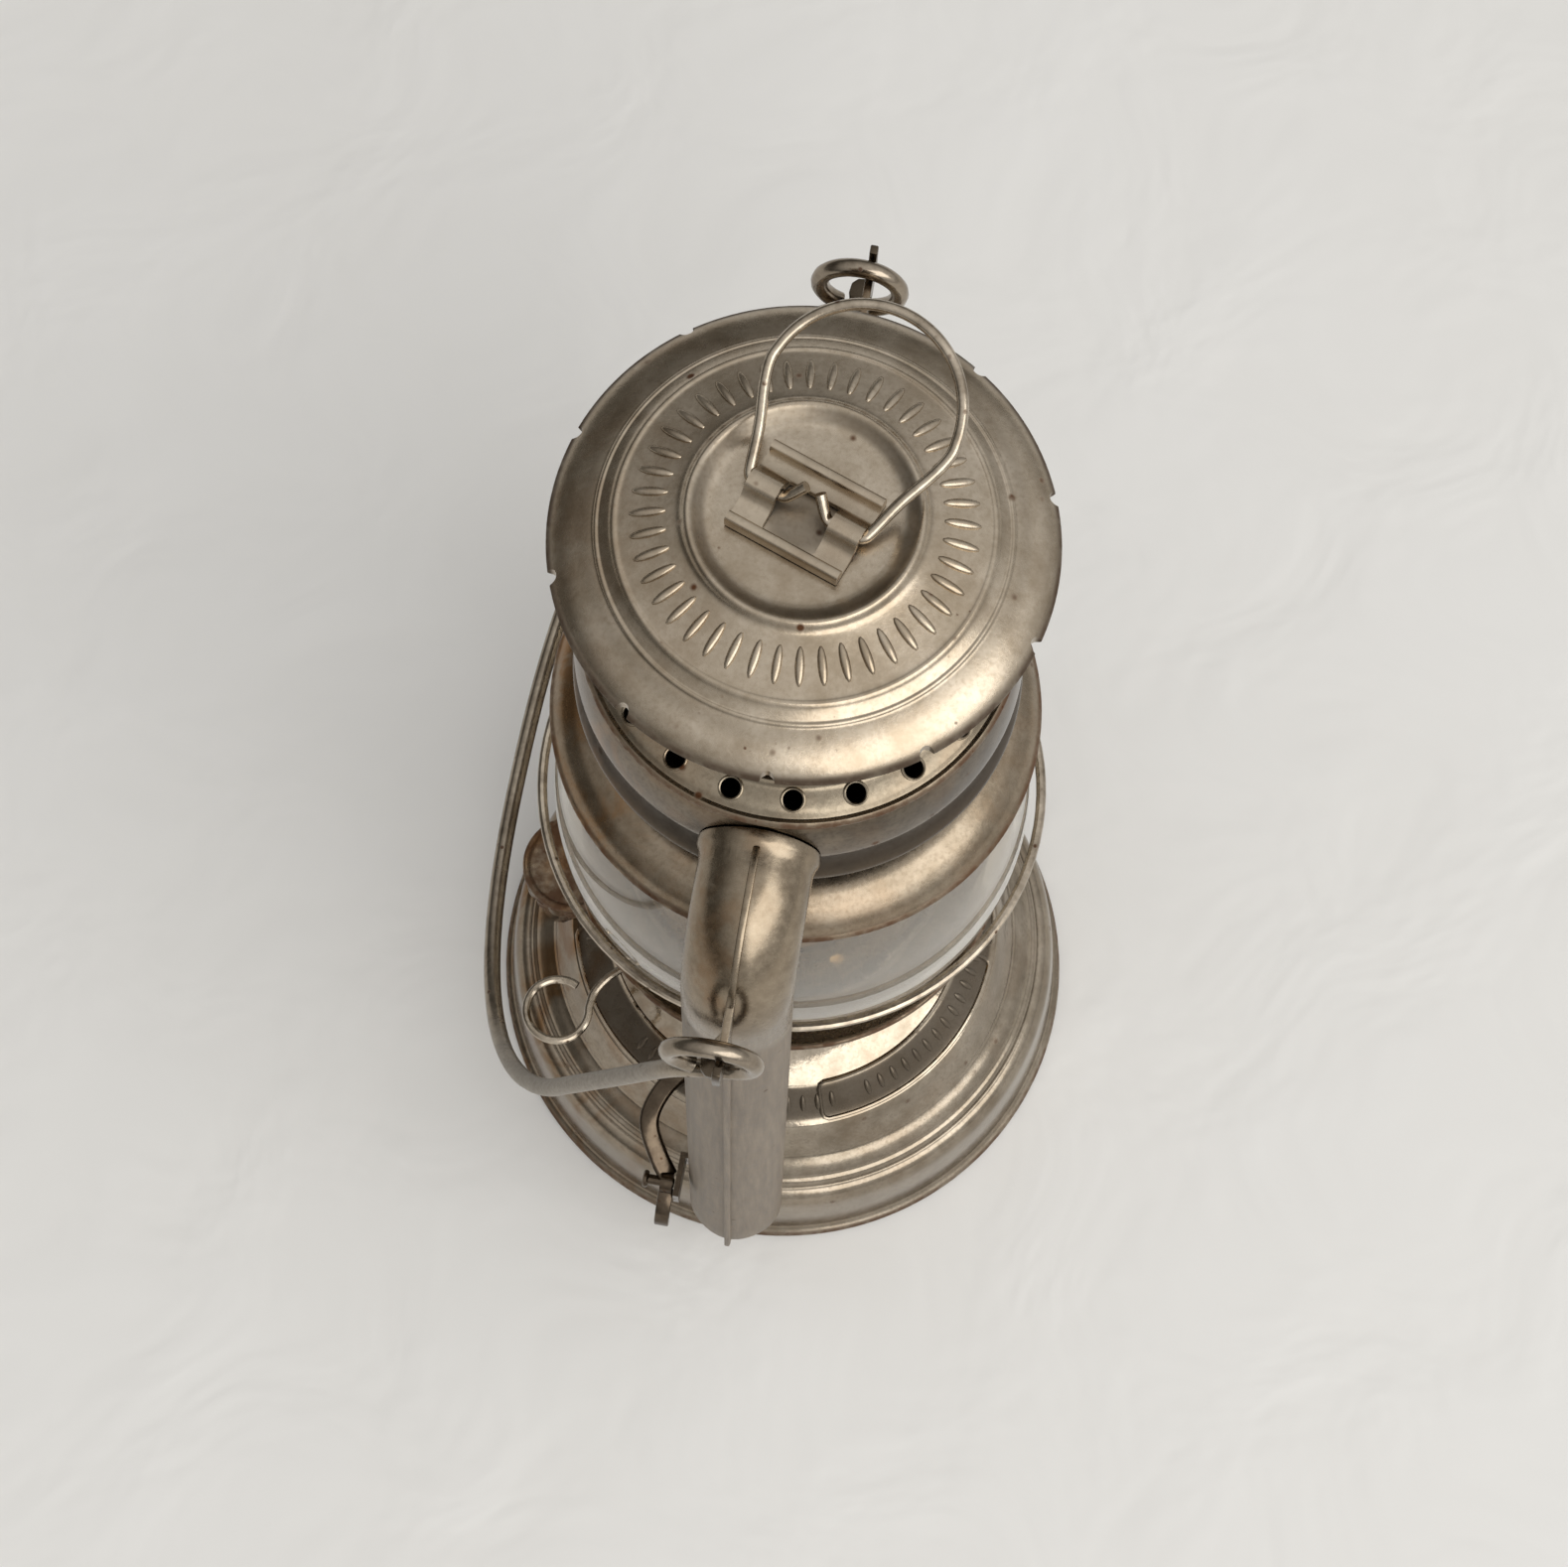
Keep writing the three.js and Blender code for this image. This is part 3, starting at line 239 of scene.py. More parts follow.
def wire(name, points, radius, closed=False, smooth=3, breadth=None):
    """A round wire along a line or, with a breadth, a flat strip with its broad side up."""
    chain(name, points, closed=closed)
    leave()
    bpy.ops.object.convert(target="CURVE")
    curve = bpy.context.object.data
    curve.dimensions = "3D"
    curve.bevel_depth = radius * MM
    curve.bevel_resolution = smooth
    curve.use_fill_caps = True
    if breadth:
        curve.twist_mode = "Z_UP"
        curve.extrude = (breadth / 2 - radius) * MM
        for point in curve.splines[0].points:
            point.tilt = RIGHT_ANGLE
    bpy.ops.object.convert(target="MESH")
    edit(bpy.context.object)
    tidy_skin()
    return leave()


def soften(piece, width, segments=2, angle=35):
    """Rounds the edges that turn by more than this angle, in degrees."""
    return modified(piece, "BEVEL", width=width * MM, segments=segments, limit_method="ANGLE",
                    angle_limit=rad(angle), harden_normals=False)


def slab(name, corners, through, soft=0.18):
    """A flat plate with these corners, made thick along one way, its edges softened."""
    chain(name, corners, closed=True)
    bpy.ops.mesh.edge_face_add()
    bpy.ops.mesh.extrude_region_move(TRANSFORM_OT_translate={"value": Vector(through) * MM})
    tidy_skin()
    piece = leave()
    return soften(piece, soft) if soft else piece


def drill(radius, place, length, turn=(0, 0, 0), sides=24):
    """A round rod, as a tool to cut a hole with."""
    put_down()
    bpy.ops.mesh.primitive_cylinder_add(vertices=sides, radius=radius * MM, depth=length * MM,
                                        location=Vector(place) * MM, rotation=turn)
    bpy.ops.object.transform_apply()
    return bpy.context.object


def drills(count, *how, **more):
    """A ring of equal drills round the upright axis, as one tool."""
    edit(drill(*how, **more))
    around(count)
    return leave()


def block(size, height, turn):
    """A box on the upright axis with its middle at one height, as a tool to cut with."""
    put_down()
    bpy.ops.mesh.primitive_cube_add(size=1, location=(0, 0, height * MM), rotation=(0, 0, turn))
    tool = bpy.context.object
    tool.scale = [side * MM for side in size]
    bpy.ops.object.transform_apply()
    return tool


def bead(radius, segments, rings, shape, lean, place):
    """A plain oval bead, leaned and put in its place. It stays in edit mode."""
    put_down()
    bpy.ops.mesh.primitive_uv_sphere_add(segments=segments, ring_count=rings, radius=radius * MM)
    piece = bpy.context.object
    edit(piece)
    stretch(shape)
    tip(rad(lean), "Y")
    move(place)
    return piece


def combine(piece, other, operation):
    """Joins or cuts one piece with another, which is used up."""
    modified(piece, "BOOLEAN", operation=operation, object=other, solver="EXACT")
    bpy.data.objects.remove(other)


def cut(piece, *tools):
    for tool in tools:
        combine(piece, tool, "DIFFERENCE")
    return piece


def weld(piece, *others):
    for other in others:
        combine(piece, other, "UNION")
    return piece


def gather(name, pieces):
    """Several shells kept as one piece."""
    pick(pieces[0])
    for other in pieces[1:]:
        other.select_set(True)
    bpy.ops.object.join()
    return named(bpy.context.object, name)


def mirror(piece):
    """Puts a piece on the other side of the lantern, across the plane of X and Z."""
    edit(piece)
    stretch((1, -1, 1))
    bpy.ops.mesh.flip_normals()
    leave()


def mirrored(piece, name):
    """A copy on the other side of the lantern."""
    pick(piece)
    bpy.ops.object.duplicate()
    copy = named(bpy.context.object, name)
    mirror(copy)
    return copy


# Finishes

FINISHES = {}


class Field:
    """A number or colour that changes over a surface, so that sums on it are written as sums."""

    def __init__(self, finish, socket):
        self.finish = finish
        self.socket = socket

    def maths(self, operation, *values, clamp=False):
        return self.finish.node("Math", dict(enumerate(values)), operation=operation,
                                use_clamp=clamp)

    def __add__(self, other): return self.maths("ADD", self, other)
    def __radd__(self, other): return self.maths("ADD", other, self)
    def __sub__(self, other): return self.maths("SUBTRACT", self, other)
    def __rsub__(self, other): return self.maths("SUBTRACT", other, self)
    def __mul__(self, other): return self.maths("MULTIPLY", self, other)
    def __pow__(self, other): return self.maths("POWER", self, other)
    def __neg__(self): return self.maths("MULTIPLY", self, -1)
    def __abs__(self): return self.maths("ABSOLUTE", self)

    def held(self):
        """The same, kept between 0 and 1."""
        return self.maths("MULTIPLY", self, 1, clamp=True)

    def step(self, low, high):
        """0 below low, 1 above high, and smooth between."""
        return self.finish.node("MapRange", {"Value": self, "From Min": low, "From Max": high},
                                "Result", interpolation_type="SMOOTHSTEP")


class Finish:
    """One procedural material. Everything that varies reads the piece's own Object coordinates."""

    def __init__(self, name, colour, roughness, metallic=1.0, **fixed):
        """Colour, roughness and metal are fixed here, and may be made to vary later."""
        self.name = name
        self.material = bpy.data.materials.new(name)
        self.material.use_nodes = True
        self.tree = self.material.node_tree
        self.shader = self.tree.nodes["Principled BSDF"]
        self.set("Base Color", (*colour, 1))
        self.set("Roughness", roughness)
        self.set("Metallic", metallic)
        for socket, value in fixed.items():
            self.set(socket.replace("_", " "), value)
        self.place = self.node("TexCoord", {}, "Object")

    def node(self, kind, inputs, out=0, **settings):
        made = self.tree.nodes.new("ShaderNode" + kind)
        for name, value in settings.items():
            setattr(made, name, value)
        for name, value in inputs.items():
            self.feed(made.inputs[name], value)
        return Field(self, made.outputs[out])

    def feed(self, socket, value):
        if isinstance(value, Field):
            self.tree.links.new(value.socket, socket)
        else:
            socket.default_value = value

    def set(self, socket, value):
        self.feed(self.shader.inputs[socket], value)

    def parts(self):
        """X, Y and Z on the piece, in metres."""
        split = self.tree.nodes.new("ShaderNodeSeparateXYZ")
        self.feed(split.inputs[0], self.place)
        return [Field(self, socket) for socket in split.outputs]

    def noise(self, size, detail=4, rough=0.55, vector=None, distort=0.0):
        """Cloudy noise from 0 to 1, with patches about so many millimetres across."""
        return self.node("TexNoise", {"Vector": vector or self.place, "Scale": 1 / (size * MM),
                                      "Detail": detail, "Roughness": rough,
                                      "Distortion": distort})

    def specks(self, size):
        """Distance to the nearest of scattered points, in cells of about that size."""
        return self.node("TexVoronoi", {"Vector": self.place, "Scale": 1 / (size * MM)},
                         "Distance")

    def blend(self, mask, first, second):
        """The first colour where the mask is 0 or less, and the second where it is 1 or more."""
        first, second = (colour if isinstance(colour, Field) else (*colour, 1)
                         for colour in (first, second))
        return self.node("Mix", {0: mask, 6: first, 7: second}, 2, data_type="RGBA",
                         clamp_factor=True)

    def bump(self, height, strength, distance, under=None):
        values = {"Height": height, "Strength": strength, "Distance": distance * MM}
        if under is not None:
            values["Normal"] = under
        return self.node("Bump", values, "Normal")

    def close(self, colour, normal, roughness=None, metallic=None):
        """Links what varies, and lists the finish under its name."""
        self.set("Base Color", colour)
        self.set("Normal", normal)
        if roughness:
            self.set("Roughness", roughness.held())
        if metallic:
            self.set("Metallic", metallic.held())
        FINISHES[self.name] = self.material


TIN_DARK = (0.40, 0.335, 0.255)
TIN_BROWN = (0.25, 0.145, 0.07)
RUST = (0.085, 0.035, 0.014)
# Dark colour for grime and soot, and for painted shade.
GRIME_AND_SHADE = (0.042, 0.031, 0.021)


# Bands of grime and wear, and bands of painted shade, as two radii, or two heights under the crown
PANEL_BAND = (39.7, 46.0)
TANK_SKIRT = (47.5, 90)
TANK_SCOURED = (47, 54)
DISH_MIDDLE = (-9, 6.0)
# Painted shade on the inner slope of the hood's raised ring.
RING_FOOT = (15.0, 17.0)
# Painted dark reflection round the hood just outside its ridge.
HOOD_GROOVE = (31.7, 34.0)
# Painted shade on the hood's curled-down rim.
HOOD_EDGE = (37.5, 38.6)
# Painted shade in the groove of the crown's wall, below its rolled lip.
UNDER_CROWN = (206.5, 214.6)
# Where the side tubes' smooth shoulder ends and the bail's lug begins
SHOULDER = (188.5, 193.5)
# The lug's outer end is darkened with painted shade round the bail's eye.
LUG_REACH, LUG_HEIGHT = (67.5, 68.5), (200, 202)
# Where the bail's chalky front arm ends, along Y and upwards
CHALK_Y, CHALK_TOP = (-66, -50), (188, 200)
# The soot on the burner, and the charred end of the wick
SOOT, CHAR = (78, 94), (84.5, 87.5)


def past(value, band):
    """0 below a band of two lengths, 1 above it, and smooth across it."""
    return value.step(band[0] * MM, band[1] * MM)


def within(value, band, soft):
    """1 inside a band and 0 outside it, with soft edges so many millimetres wide."""
    low, high = band
    return past(value, (low - soft, low + soft)) * (1 - past(value, (high - soft, high + soft)))


def tinned_sheet(name, light, dark=TIN_DARK, gloss=0.27, rust=0.35, brown=0.25, dents=0.35,
                 rim=None, grime_and_shade_bands=None, scoured=None):
    """Bright tin plate, gone dull: cloudy, with brown tints, rust specks and pits, a darker rim,
    and scoured bands, bands of grime and bands of painted shade. The brown tint is heavier on its
    left side, away from the window: random brown patches, with painted shade on top."""
    finish = Finish(name, light, gloss, Specular_IOR_Level=0.15)
    cloud = finish.noise(24, detail=6, rough=0.65)
    mottle = finish.noise(4.5, detail=4, rough=0.65)
    grain = finish.noise(0.8, detail=3)
    smear = finish.noise(11, detail=5, rough=0.6, distort=0.6)
    x, y, z = finish.parts()
    reach = (x * x + y * y) ** 0.5
    base = finish.blend(cloud * 2.4 + mottle * 1.5 - 1.45, dark, light)
    base = finish.blend(grain.step(0.45, 0.72) * 0.5, base, dark)
    # Painted shade: the brown tint is laid on heavier on the left side, away from the window, on
    # top of random brown patches.
    left = past(-x, (4, 49))
    tint = smear.step(0.42, 0.68) * (0.22 + left * 1.1) * brown * 1.6 + left * brown * 0.35
    base = finish.blend(tint, base, TIN_BROWN)
    where = finish.noise(15, detail=3).step(0.43, 0.58)
    spots = 1 - finish.specks(6.5).step(0.05, 0.14)
    pits = 1 - finish.specks(1.7).step(0.08, 0.2)
    rusty = (spots * where + pits * where * finish.noise(4).step(0.55, 0.7) * 0.9) * rust * 1.7
    if rim:
        rusty = rusty + past(reach, (rim - 0.9, rim - 0.1)) * mottle.step(0.3, 0.6) * 0.85
    rusty = rusty.held()
    base = finish.blend(rusty, base, RUST)
    rough = gloss + (cloud - 0.5) * 0.2 + (mottle - 0.5) * 0.14 + (grain - 0.5) * 0.1 + rusty * 0.4
    metal = 1 - rusty * 0.85
    # Bands of grime and bands of painted shade alike darken towards one dark colour and go matte.
    if grime_and_shade_bands:
        grime_and_shade = (grime_and_shade_bands(reach, z) * (0.7 + mottle * 0.5)).held()
        base = finish.blend(grime_and_shade, base, GRIME_AND_SHADE)
        rough = rough + grime_and_shade * grime_and_shade * 0.4
        metal = metal - grime_and_shade * grime_and_shade * 0.75
    if scoured:
        rough = rough + scoured(reach, z)
    wave = finish.bump(finish.noise(17, detail=2), dents, 0.35)
    finish.close(base, finish.bump(grain + mottle * 0.8 + rusty * 0.6, 0.22, 0.08, wave), rough,
                 metal)


def dull_zinc(name):
    """Old zinc on the side tubes: smooth and brown on the shoulder, chalky and streaked below.
    The shoulder's brown patches are kept to the tube's left half, away from the window, as painted
    shade, and the lug round the bail's eye is darkened with painted shade.
    """
    light, dark = (0.345, 0.285, 0.212), (0.20, 0.157, 0.11)
    finish = Finish(name, light, 0.4)
    drawn_out = finish.node("Mapping", {"Vector": finish.place, "Scale": (1, 1, 0.07)})
    streak = finish.noise(1.3, detail=5, rough=0.65, vector=drawn_out)
    cloud = finish.noise(18, detail=4)
    mottle = finish.noise(2.6, detail=5, rough=0.7)
    x, y, z = finish.parts()
    high = past(z + x * 0.35 + (cloud - 0.5) * 6 * MM, SHOULDER)
    chalk = finish.blend(streak * 1.9 + mottle - 0.95,
                         (0.135, 0.105, 0.078), (0.315, 0.262, 0.204))
    smooth = finish.blend(cloud * 1.4 + mottle * 2.0 - 1.2, dark, light)
    # Painted shade: brown patches only on the tube's left half, away from the window.
    stain_and_shade = finish.noise(8).step(0.45, 0.66) * past(-x, (-4, 4)) * 0.5
    smooth = finish.blend(stain_and_shade, smooth, TIN_BROWN)
    base = finish.blend(high, chalk, smooth)
    spots = (1 - finish.specks(4.2).step(0.07, 0.16)) * finish.noise(11).step(0.5, 0.66)
    base = finish.blend(spots * 0.8, base, RUST)
    # Painted shade on the lug round the bail's eye.
    lug = past(abs(y), LUG_REACH) * past(z, LUG_HEIGHT)
    base = finish.blend(lug * 0.75, base, GRIME_AND_SHADE)
    wave = finish.bump(finish.noise(12, detail=2), 0.3, 0.3)
    finish.close(base, finish.bump(streak * (1.4 - high) + finish.noise(0.8), 0.25, 0.07, wave),
                 0.5 - high * 0.24 + (streak - 0.5) * 0.25 + (mottle - 0.5) * 0.3 + spots * 0.3,
                 1 - spots * 0.7 - (1 - high) * 0.45)


def drawn_wire(name, light=(0.62, 0.54, 0.435), dark=(0.24, 0.195, 0.145), chalky=False):
    """Steel wire, rubbed bright in places and brown with age in others. A chalky wire is so in
    front and low down, and fades to bare steel."""
    finish = Finish(name, light, 0.3)
    cloud = finish.noise(5, detail=5, rough=0.65)
    grain = finish.noise(0.7, detail=3)
    base = finish.blend(cloud * 2.2 + grain * 0.5 - 0.85, dark, light)
    spots = (1 - finish.specks(2.4).step(0.08, 0.24)) * finish.noise(7).step(0.48, 0.6)
    base = finish.blend(spots * 0.85, base, RUST)
    rough, metal = 0.13 + grain * 0.16 + spots * 0.4, None
    if chalky:
        x, y, z = finish.parts()
        rear, top = past(y + (cloud - 0.5) * 12 * MM, CHALK_Y), past(z, CHALK_TOP)
        faded = (0.9 - rear * 0.85 - top * 0.85).held()
        chalk = finish.blend(grain * 1.4 - 0.2, (0.22, 0.195, 0.165), (0.42, 0.385, 0.335))
        base = finish.blend(faded, base, chalk)
        rough, metal = rough + faded * 0.35, 1 - faded * 0.5 - spots * 0.3
    finish.close(base, finish.bump(grain, 0.2, 0.05), rough, metal)


def aged_brass(name):
    """Yellow brass with dark patches, sooty towards the flame."""
    finish = Finish(name, (0.50, 0.34, 0.14), 0.38)
    cloud = finish.noise(7, detail=5)
    soot = finish.noise(4, detail=3).step(0.5, 0.75)
    x, y, z = finish.parts()
    top = past(z, SOOT)
    base = finish.blend(cloud * 1.6 - 0.3, (0.25, 0.16, 0.075), (0.56, 0.39, 0.17))
    base = finish.blend((soot * 0.4 + top) * 0.8, base, GRIME_AND_SHADE)
    finish.close(base, finish.bump(cloud + finish.noise(0.6), 0.15, 0.06),
                 0.34 + cloud * 0.16 + top * 0.3)


def lamp_glass(name):
    """Clear soda glass with a light haze of soot and handling."""
    tint = (0.82, 0.775, 0.70)
    finish = Finish(name, tint, 0.02, 0.0, Transmission_Weight=0.88, IOR=1.46)
    haze = finish.noise(20, detail=4).step(0.45, 0.8)
    finish.close((*tint, 1), finish.bump(finish.noise(30, detail=1), 0.12, 0.4),
                 0.015 + haze * 0.07)


def pressed_cork(name):
    finish = Finish(name, (0.30, 0.17, 0.08), 0.9, 0.0)
    crumbs = finish.specks(1.1)
    finish.close(finish.blend(crumbs, (0.14, 0.075, 0.035), (0.36, 0.22, 0.11)),
                 finish.bump(crumbs, 0.5, 0.2))


def woven_wick(name):
    """Flat woven cotton, charred where it burns."""
    finish = Finish(name, (0.62, 0.56, 0.44), 0.95, 0.0)
    x, y, z = finish.parts()
    ribs = finish.node("TexWave", {"Vector": finish.place, "Scale": 320.0, "Distortion": 0.6},
                       bands_direction="Z")
    char = past(z, CHAR)
    base = finish.blend(ribs * 0.5, (0.60, 0.54, 0.42), (0.40, 0.35, 0.26))
    finish.close(finish.blend(char, base, (0.012, 0.011, 0.010)), finish.bump(ribs, 0.5, 0.15))


def table_cloth(name):
    """Plain pale cloth under the lantern, nearly flat, with soft rumples."""
    finish = Finish(name, (0.80, 0.795, 0.785), 0.9, 0.0)
    broad = finish.noise(160, detail=3)
    rumple = finish.noise(46, detail=3, distort=0.7)
    soft = finish.bump(rumple, 0.5, 3.0)
    finish.close(finish.blend(broad * 0.5 + rumple * 0.2, (0.775, 0.765, 0.74),
                              (0.85, 0.85, 0.845)),
                 finish.bump(finish.noise(1.3, detail=2), 0.12, 0.12, soft))


tinned_sheet(
    "tank_tin", (0.50, 0.435, 0.35), (0.26, 0.215, 0.16), gloss=0.08, brown=0.42, dents=0.3,
    rim=64.9, grime_and_shade_bands=lambda reach, z: (within(reach, PANEL_BAND, 0.4) * 0.78
                                       + within(reach, TANK_SKIRT, 1) * 0.2),
    scoured=lambda reach, z: past(reach, TANK_SCOURED) * 0.12)
tinned_sheet(
    "hood_tin", (0.575, 0.50, 0.402), (0.35, 0.285, 0.207), rust=0.7, brown=0.2, rim=38.8,
    grime_and_shade_bands=lambda reach, z: (within(reach, DISH_MIDDLE, 1.6) * 0.5
                             # painted shade on the ring's inner slope
                             + within(reach, RING_FOOT, 0.6) * 0.5
                             # painted dark reflection outside the ridge
                             + within(reach, HOOD_GROOVE, 0.9) * 0.2
                             # painted shade on the curled rim
                             + past(reach, HOOD_EDGE) * 0.75))
# Painted shade: the crown's and chimney's tin is made far darker than the hood's, for the shade
# under the hood.
tinned_sheet("crown_tin", (0.20, 0.165, 0.122), (0.075, 0.058, 0.042), gloss=0.2, rust=0.45,
             # painted shade in the groove of the crown's wall
             brown=0.5, grime_and_shade_bands=lambda reach, z: within(z, UNDER_CROWN, 2.6) * 0.95)
# Painted shade: the vent plate's tin is darkened for the shadow of the hood above it; the filler
# cap shares this finish.
tinned_sheet("vent_tin", (0.35, 0.298, 0.225), (0.18, 0.148, 0.107), gloss=0.26, rust=0.6,
             brown=0.4, rim=35.9)
tinned_sheet("brim_tin", (0.36, 0.30, 0.228), (0.19, 0.15, 0.105), rust=0.4, brown=0.6,
             dents=0.3, rim=43.0)
tinned_sheet("clip_tin", (0.56, 0.48, 0.375), gloss=0.28, rust=0.8, brown=0.5)
dull_zinc("dull_zinc")
drawn_wire("wire_steel")
drawn_wire("bail_wire", light=(0.42, 0.36, 0.285), dark=(0.17, 0.135, 0.10), chalky=True)
drawn_wire("lever_wire", light=(0.14, 0.108, 0.077), dark=(0.055, 0.04, 0.028))
aged_brass("aged_brass")
lamp_glass("lamp_glass")
pressed_cork("pressed_cork")
woven_wick("woven_wick")
table_cloth("table_cloth")


def polish(piece, finish, crease):
    """Smooth shading up to a crease, in degrees, and the finish."""
    pick(piece)
    bpy.ops.object.shade_smooth_by_angle(angle=rad(crease))
    piece.data.materials.clear()
    piece.data.materials.append(FINISHES[finish])


def fit(piece, finish, body, node, crease=32):
    """Gives a piece its finish and its place on a body, in place of the CAD node it stands for."""
    polish(piece, finish, crease)
    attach(piece, body)
    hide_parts(node)


# Tank

TANK_OUTLINE = [
    (63.6, 0.15), (64.6, 0.55), (64.98, 1.6), (64.6, 2.6), (63.7, 3.3), (63.1, 4.3), (62.75, 7.5),
    (62.4, 12), (61.95, 16), (61.5, 19.2), (61.1, 20.9), (60.4, 22.3), (59.4, 23.4), (58.5, 23.95),
    (57.85, 24.15), (57.5, 24.9), (57.0, 25.8), (56.1, 26.3), (55.5, 27.0), (54.0, 28.3),
    (52.7, 29.15), (51.8, 29.9), (51.2, 31.2), (50.0, 33.5), (48.5, 37.0), (47.4, 39.3),
    (46.9, 39.8), (46.2, 40.25), (45.2, 40.95), (43.6, 42.4), (41.6, 44.2), (40.0, 45.6),
    (39.3, 45.95), (38.4, 46.35), (36.0, 47.4), (33.0, 48.55), (30.0, 49.3), (24.0, 49.85),
    (18.6, 50.0),
]


# Azimuths at which each framed panel starts and ends, in degrees
PANELS = ((-69.5, -2), (-166, -110.5), (2, 69.5), (110.5, 166))
FILLER_X = -47.5


def panel_frame(start, end):
    """The thin raised border of a framed panel on the tank's shoulder."""
    inner, outer, corner, border = 39.2, 46.3, 1.3, 0.5

    def on_tank(reach, angle):
        return on_circle(reach, angle, height_on(TANK_OUTLINE, reach))

    ease = corner / outer
    line = [on_tank(outer, a) for a in arc(26, start + ease, end - ease, float)]
    line += [on_tank(outer - 0.4, end - 0.3 * ease), on_tank(outer - corner, end)]
    line += [on_tank(inner + corner, end), on_tank(inner + 0.4, end - 0.3 * ease)]
    line += [on_tank(inner, a) for a in arc(26, end - 1.2 * ease, start + 1.2 * ease, float)]
    line += [on_tank(inner + 0.4, start + 0.3 * ease), on_tank(inner + corner, start)]
    line += [on_tank(outer - corner, start), on_tank(outer - 0.4, start + 0.3 * ease)]
    return wire("panel", line, border, closed=True, smooth=2)


def tank_shell():
    """The tank's top and wall, with four framed panels and a row of plain beads in each."""
    shell = turned("tank_shell_skin", walled(smoothed(TANK_OUTLINE), SHEET))
    cut(shell, drill(7.6, (FILLER_X, 0, 45), 40, sides=48))
    frames = [panel_frame(rad(start), rad(end)) for start, end in PANELS]
    beads = []
    middle, inset, apart = 42.8, 3.5, 4
    for start, end in PANELS:
        start, end = start + inset, end - inset
        beads.append(bead(0.9, 12, 8, (2.3, 0.75, 0.6), 40,
                          (middle, 0, height_on(TANK_OUTLINE, middle))))
        tip(rad(start), "Z")
        around(round((end - start) / apart), rad(end - start))
        leave()
    fit(gather("tank_shell_skin", [shell, *frames, *beads]), "tank_tin", "frame",
        "tank_shell")


def filler_cap():
    """Screw cap: fluted skirt, and above it a plain disc inside a thin raised rim."""
    rim = [(10.1, 51.3), (10.6, 51.4), (10.85, 51.8), (10.85, 53.0), (10.6, 53.5), (10.2, 53.75),
           (9.75, 53.7), (9.45, 53.4), (9.2, 53.1), (8.6, 53.0), (5.0, 53.05), (0, 53.1)]
    top = turned("filler_cap_skin", domed(smoothed(rim), CAP_SHEET), 96, closed=False)
    edit(top)
    move((FILLER_X, 0, 0))
    leave()
    flutes, per, crown, groove, low, deep = 18, 6, 10.5, 0.5, 47.7, 3.9
    skirt_line = []
    for i in range(flutes * per):
        a = FULL * i / (flutes * per)
        reach = crown - groove * (0.5 - 0.5 * cos(flutes * a)) ** 2
        skirt_line.append((FILLER_X + reach * cos(a), reach * sin(a), low))
    chain("cap_skirt", skirt_line, closed=True)
    bpy.ops.mesh.extrude_edges_move(TRANSFORM_OT_translate={"value": (0, 0, deep * MM)})
    skirt = modified(leave(), "SOLIDIFY", thickness=0.5 * MM, offset=-1)
    fit(gather("filler_cap_skin", [top, skirt]), "vent_tin", "filler_cap",
        "filler_cap")


# Side tubes

TUBE_TOP_REACH, TUBE_FOOT_REACH = 56.0, 60.5
TUBE_FOOT, MOUTH_Z, BEND = 16.0, 216.0, 17.0
HALF_DEPTH, HALF_WIDTH = 8.1, 9.4
RIDGE = 0.06
BEND_Z = MOUTH_Z - BEND
SPLAY = atan((TUBE_FOOT_REACH - TUBE_TOP_REACH) / (BEND_Z - TUBE_FOOT))
LEAN = RIGHT_ANGLE - SPLAY
# The bail's pivot, and the radius of its eyes
BAIL_X, BAIL_REACH, BAIL_Z, EYE = -1.6, 69.8, 208, 7.1


def tube_stations():
    """Middle, lean, half depth and half width of the tube, from its mouth to its closed foot."""
    bend_steps, leg_steps, deeper, wider, foot_round = 18, 24, 0.7, 0.8, 4.5
    stations = [(reach, MOUTH_Z, 0.0, HALF_DEPTH, HALF_WIDTH) for reach in (30.0, 34.0, 38.4)]
    for i in range(bend_steps + 1):
        lean = LEAN * i / bend_steps
        stations.append((TUBE_TOP_REACH - BEND + BEND * sin(lean),
                         BEND_Z + BEND * cos(lean), lean, HALF_DEPTH, HALF_WIDTH))

    def on_leg(z, depth, width):
        reach = TUBE_TOP_REACH + (BEND_Z - z) * tan(SPLAY)
        stations.append((reach, z, LEAN, depth, width))

    for i in range(1, leg_steps + 1):
        share = i / leg_steps
        on_leg(BEND_Z + (TUBE_FOOT + foot_round - BEND_Z) * share,
               HALF_DEPTH + deeper * share, HALF_WIDTH + wider * share)
    for rise, share in ((3.1, 0.965), (1.9, 0.90), (1.0, 0.79), (0.4, 0.62), (0.1, 0.36)):
        on_leg(TUBE_FOOT + rise, (HALF_DEPTH + deeper) * share, (HALF_WIDTH + wider) * share)
    return stations


def tube_ring(station):
    """One oval of the tube, drawn to a soft ridge at its outer seam."""
    sides = 56
    reach, z, lean, depth, width = station
    outward = Vector((0, -sin(lean), cos(lean)))
    points = []
    for i in range(sides):
        a = FULL * i / sides
        out = depth * cos(a) * (1 + RIDGE * max(cos(a), 0) ** 6)
        points.append(Vector((width * sin(a), -reach, z)) + outward * out)
    return points


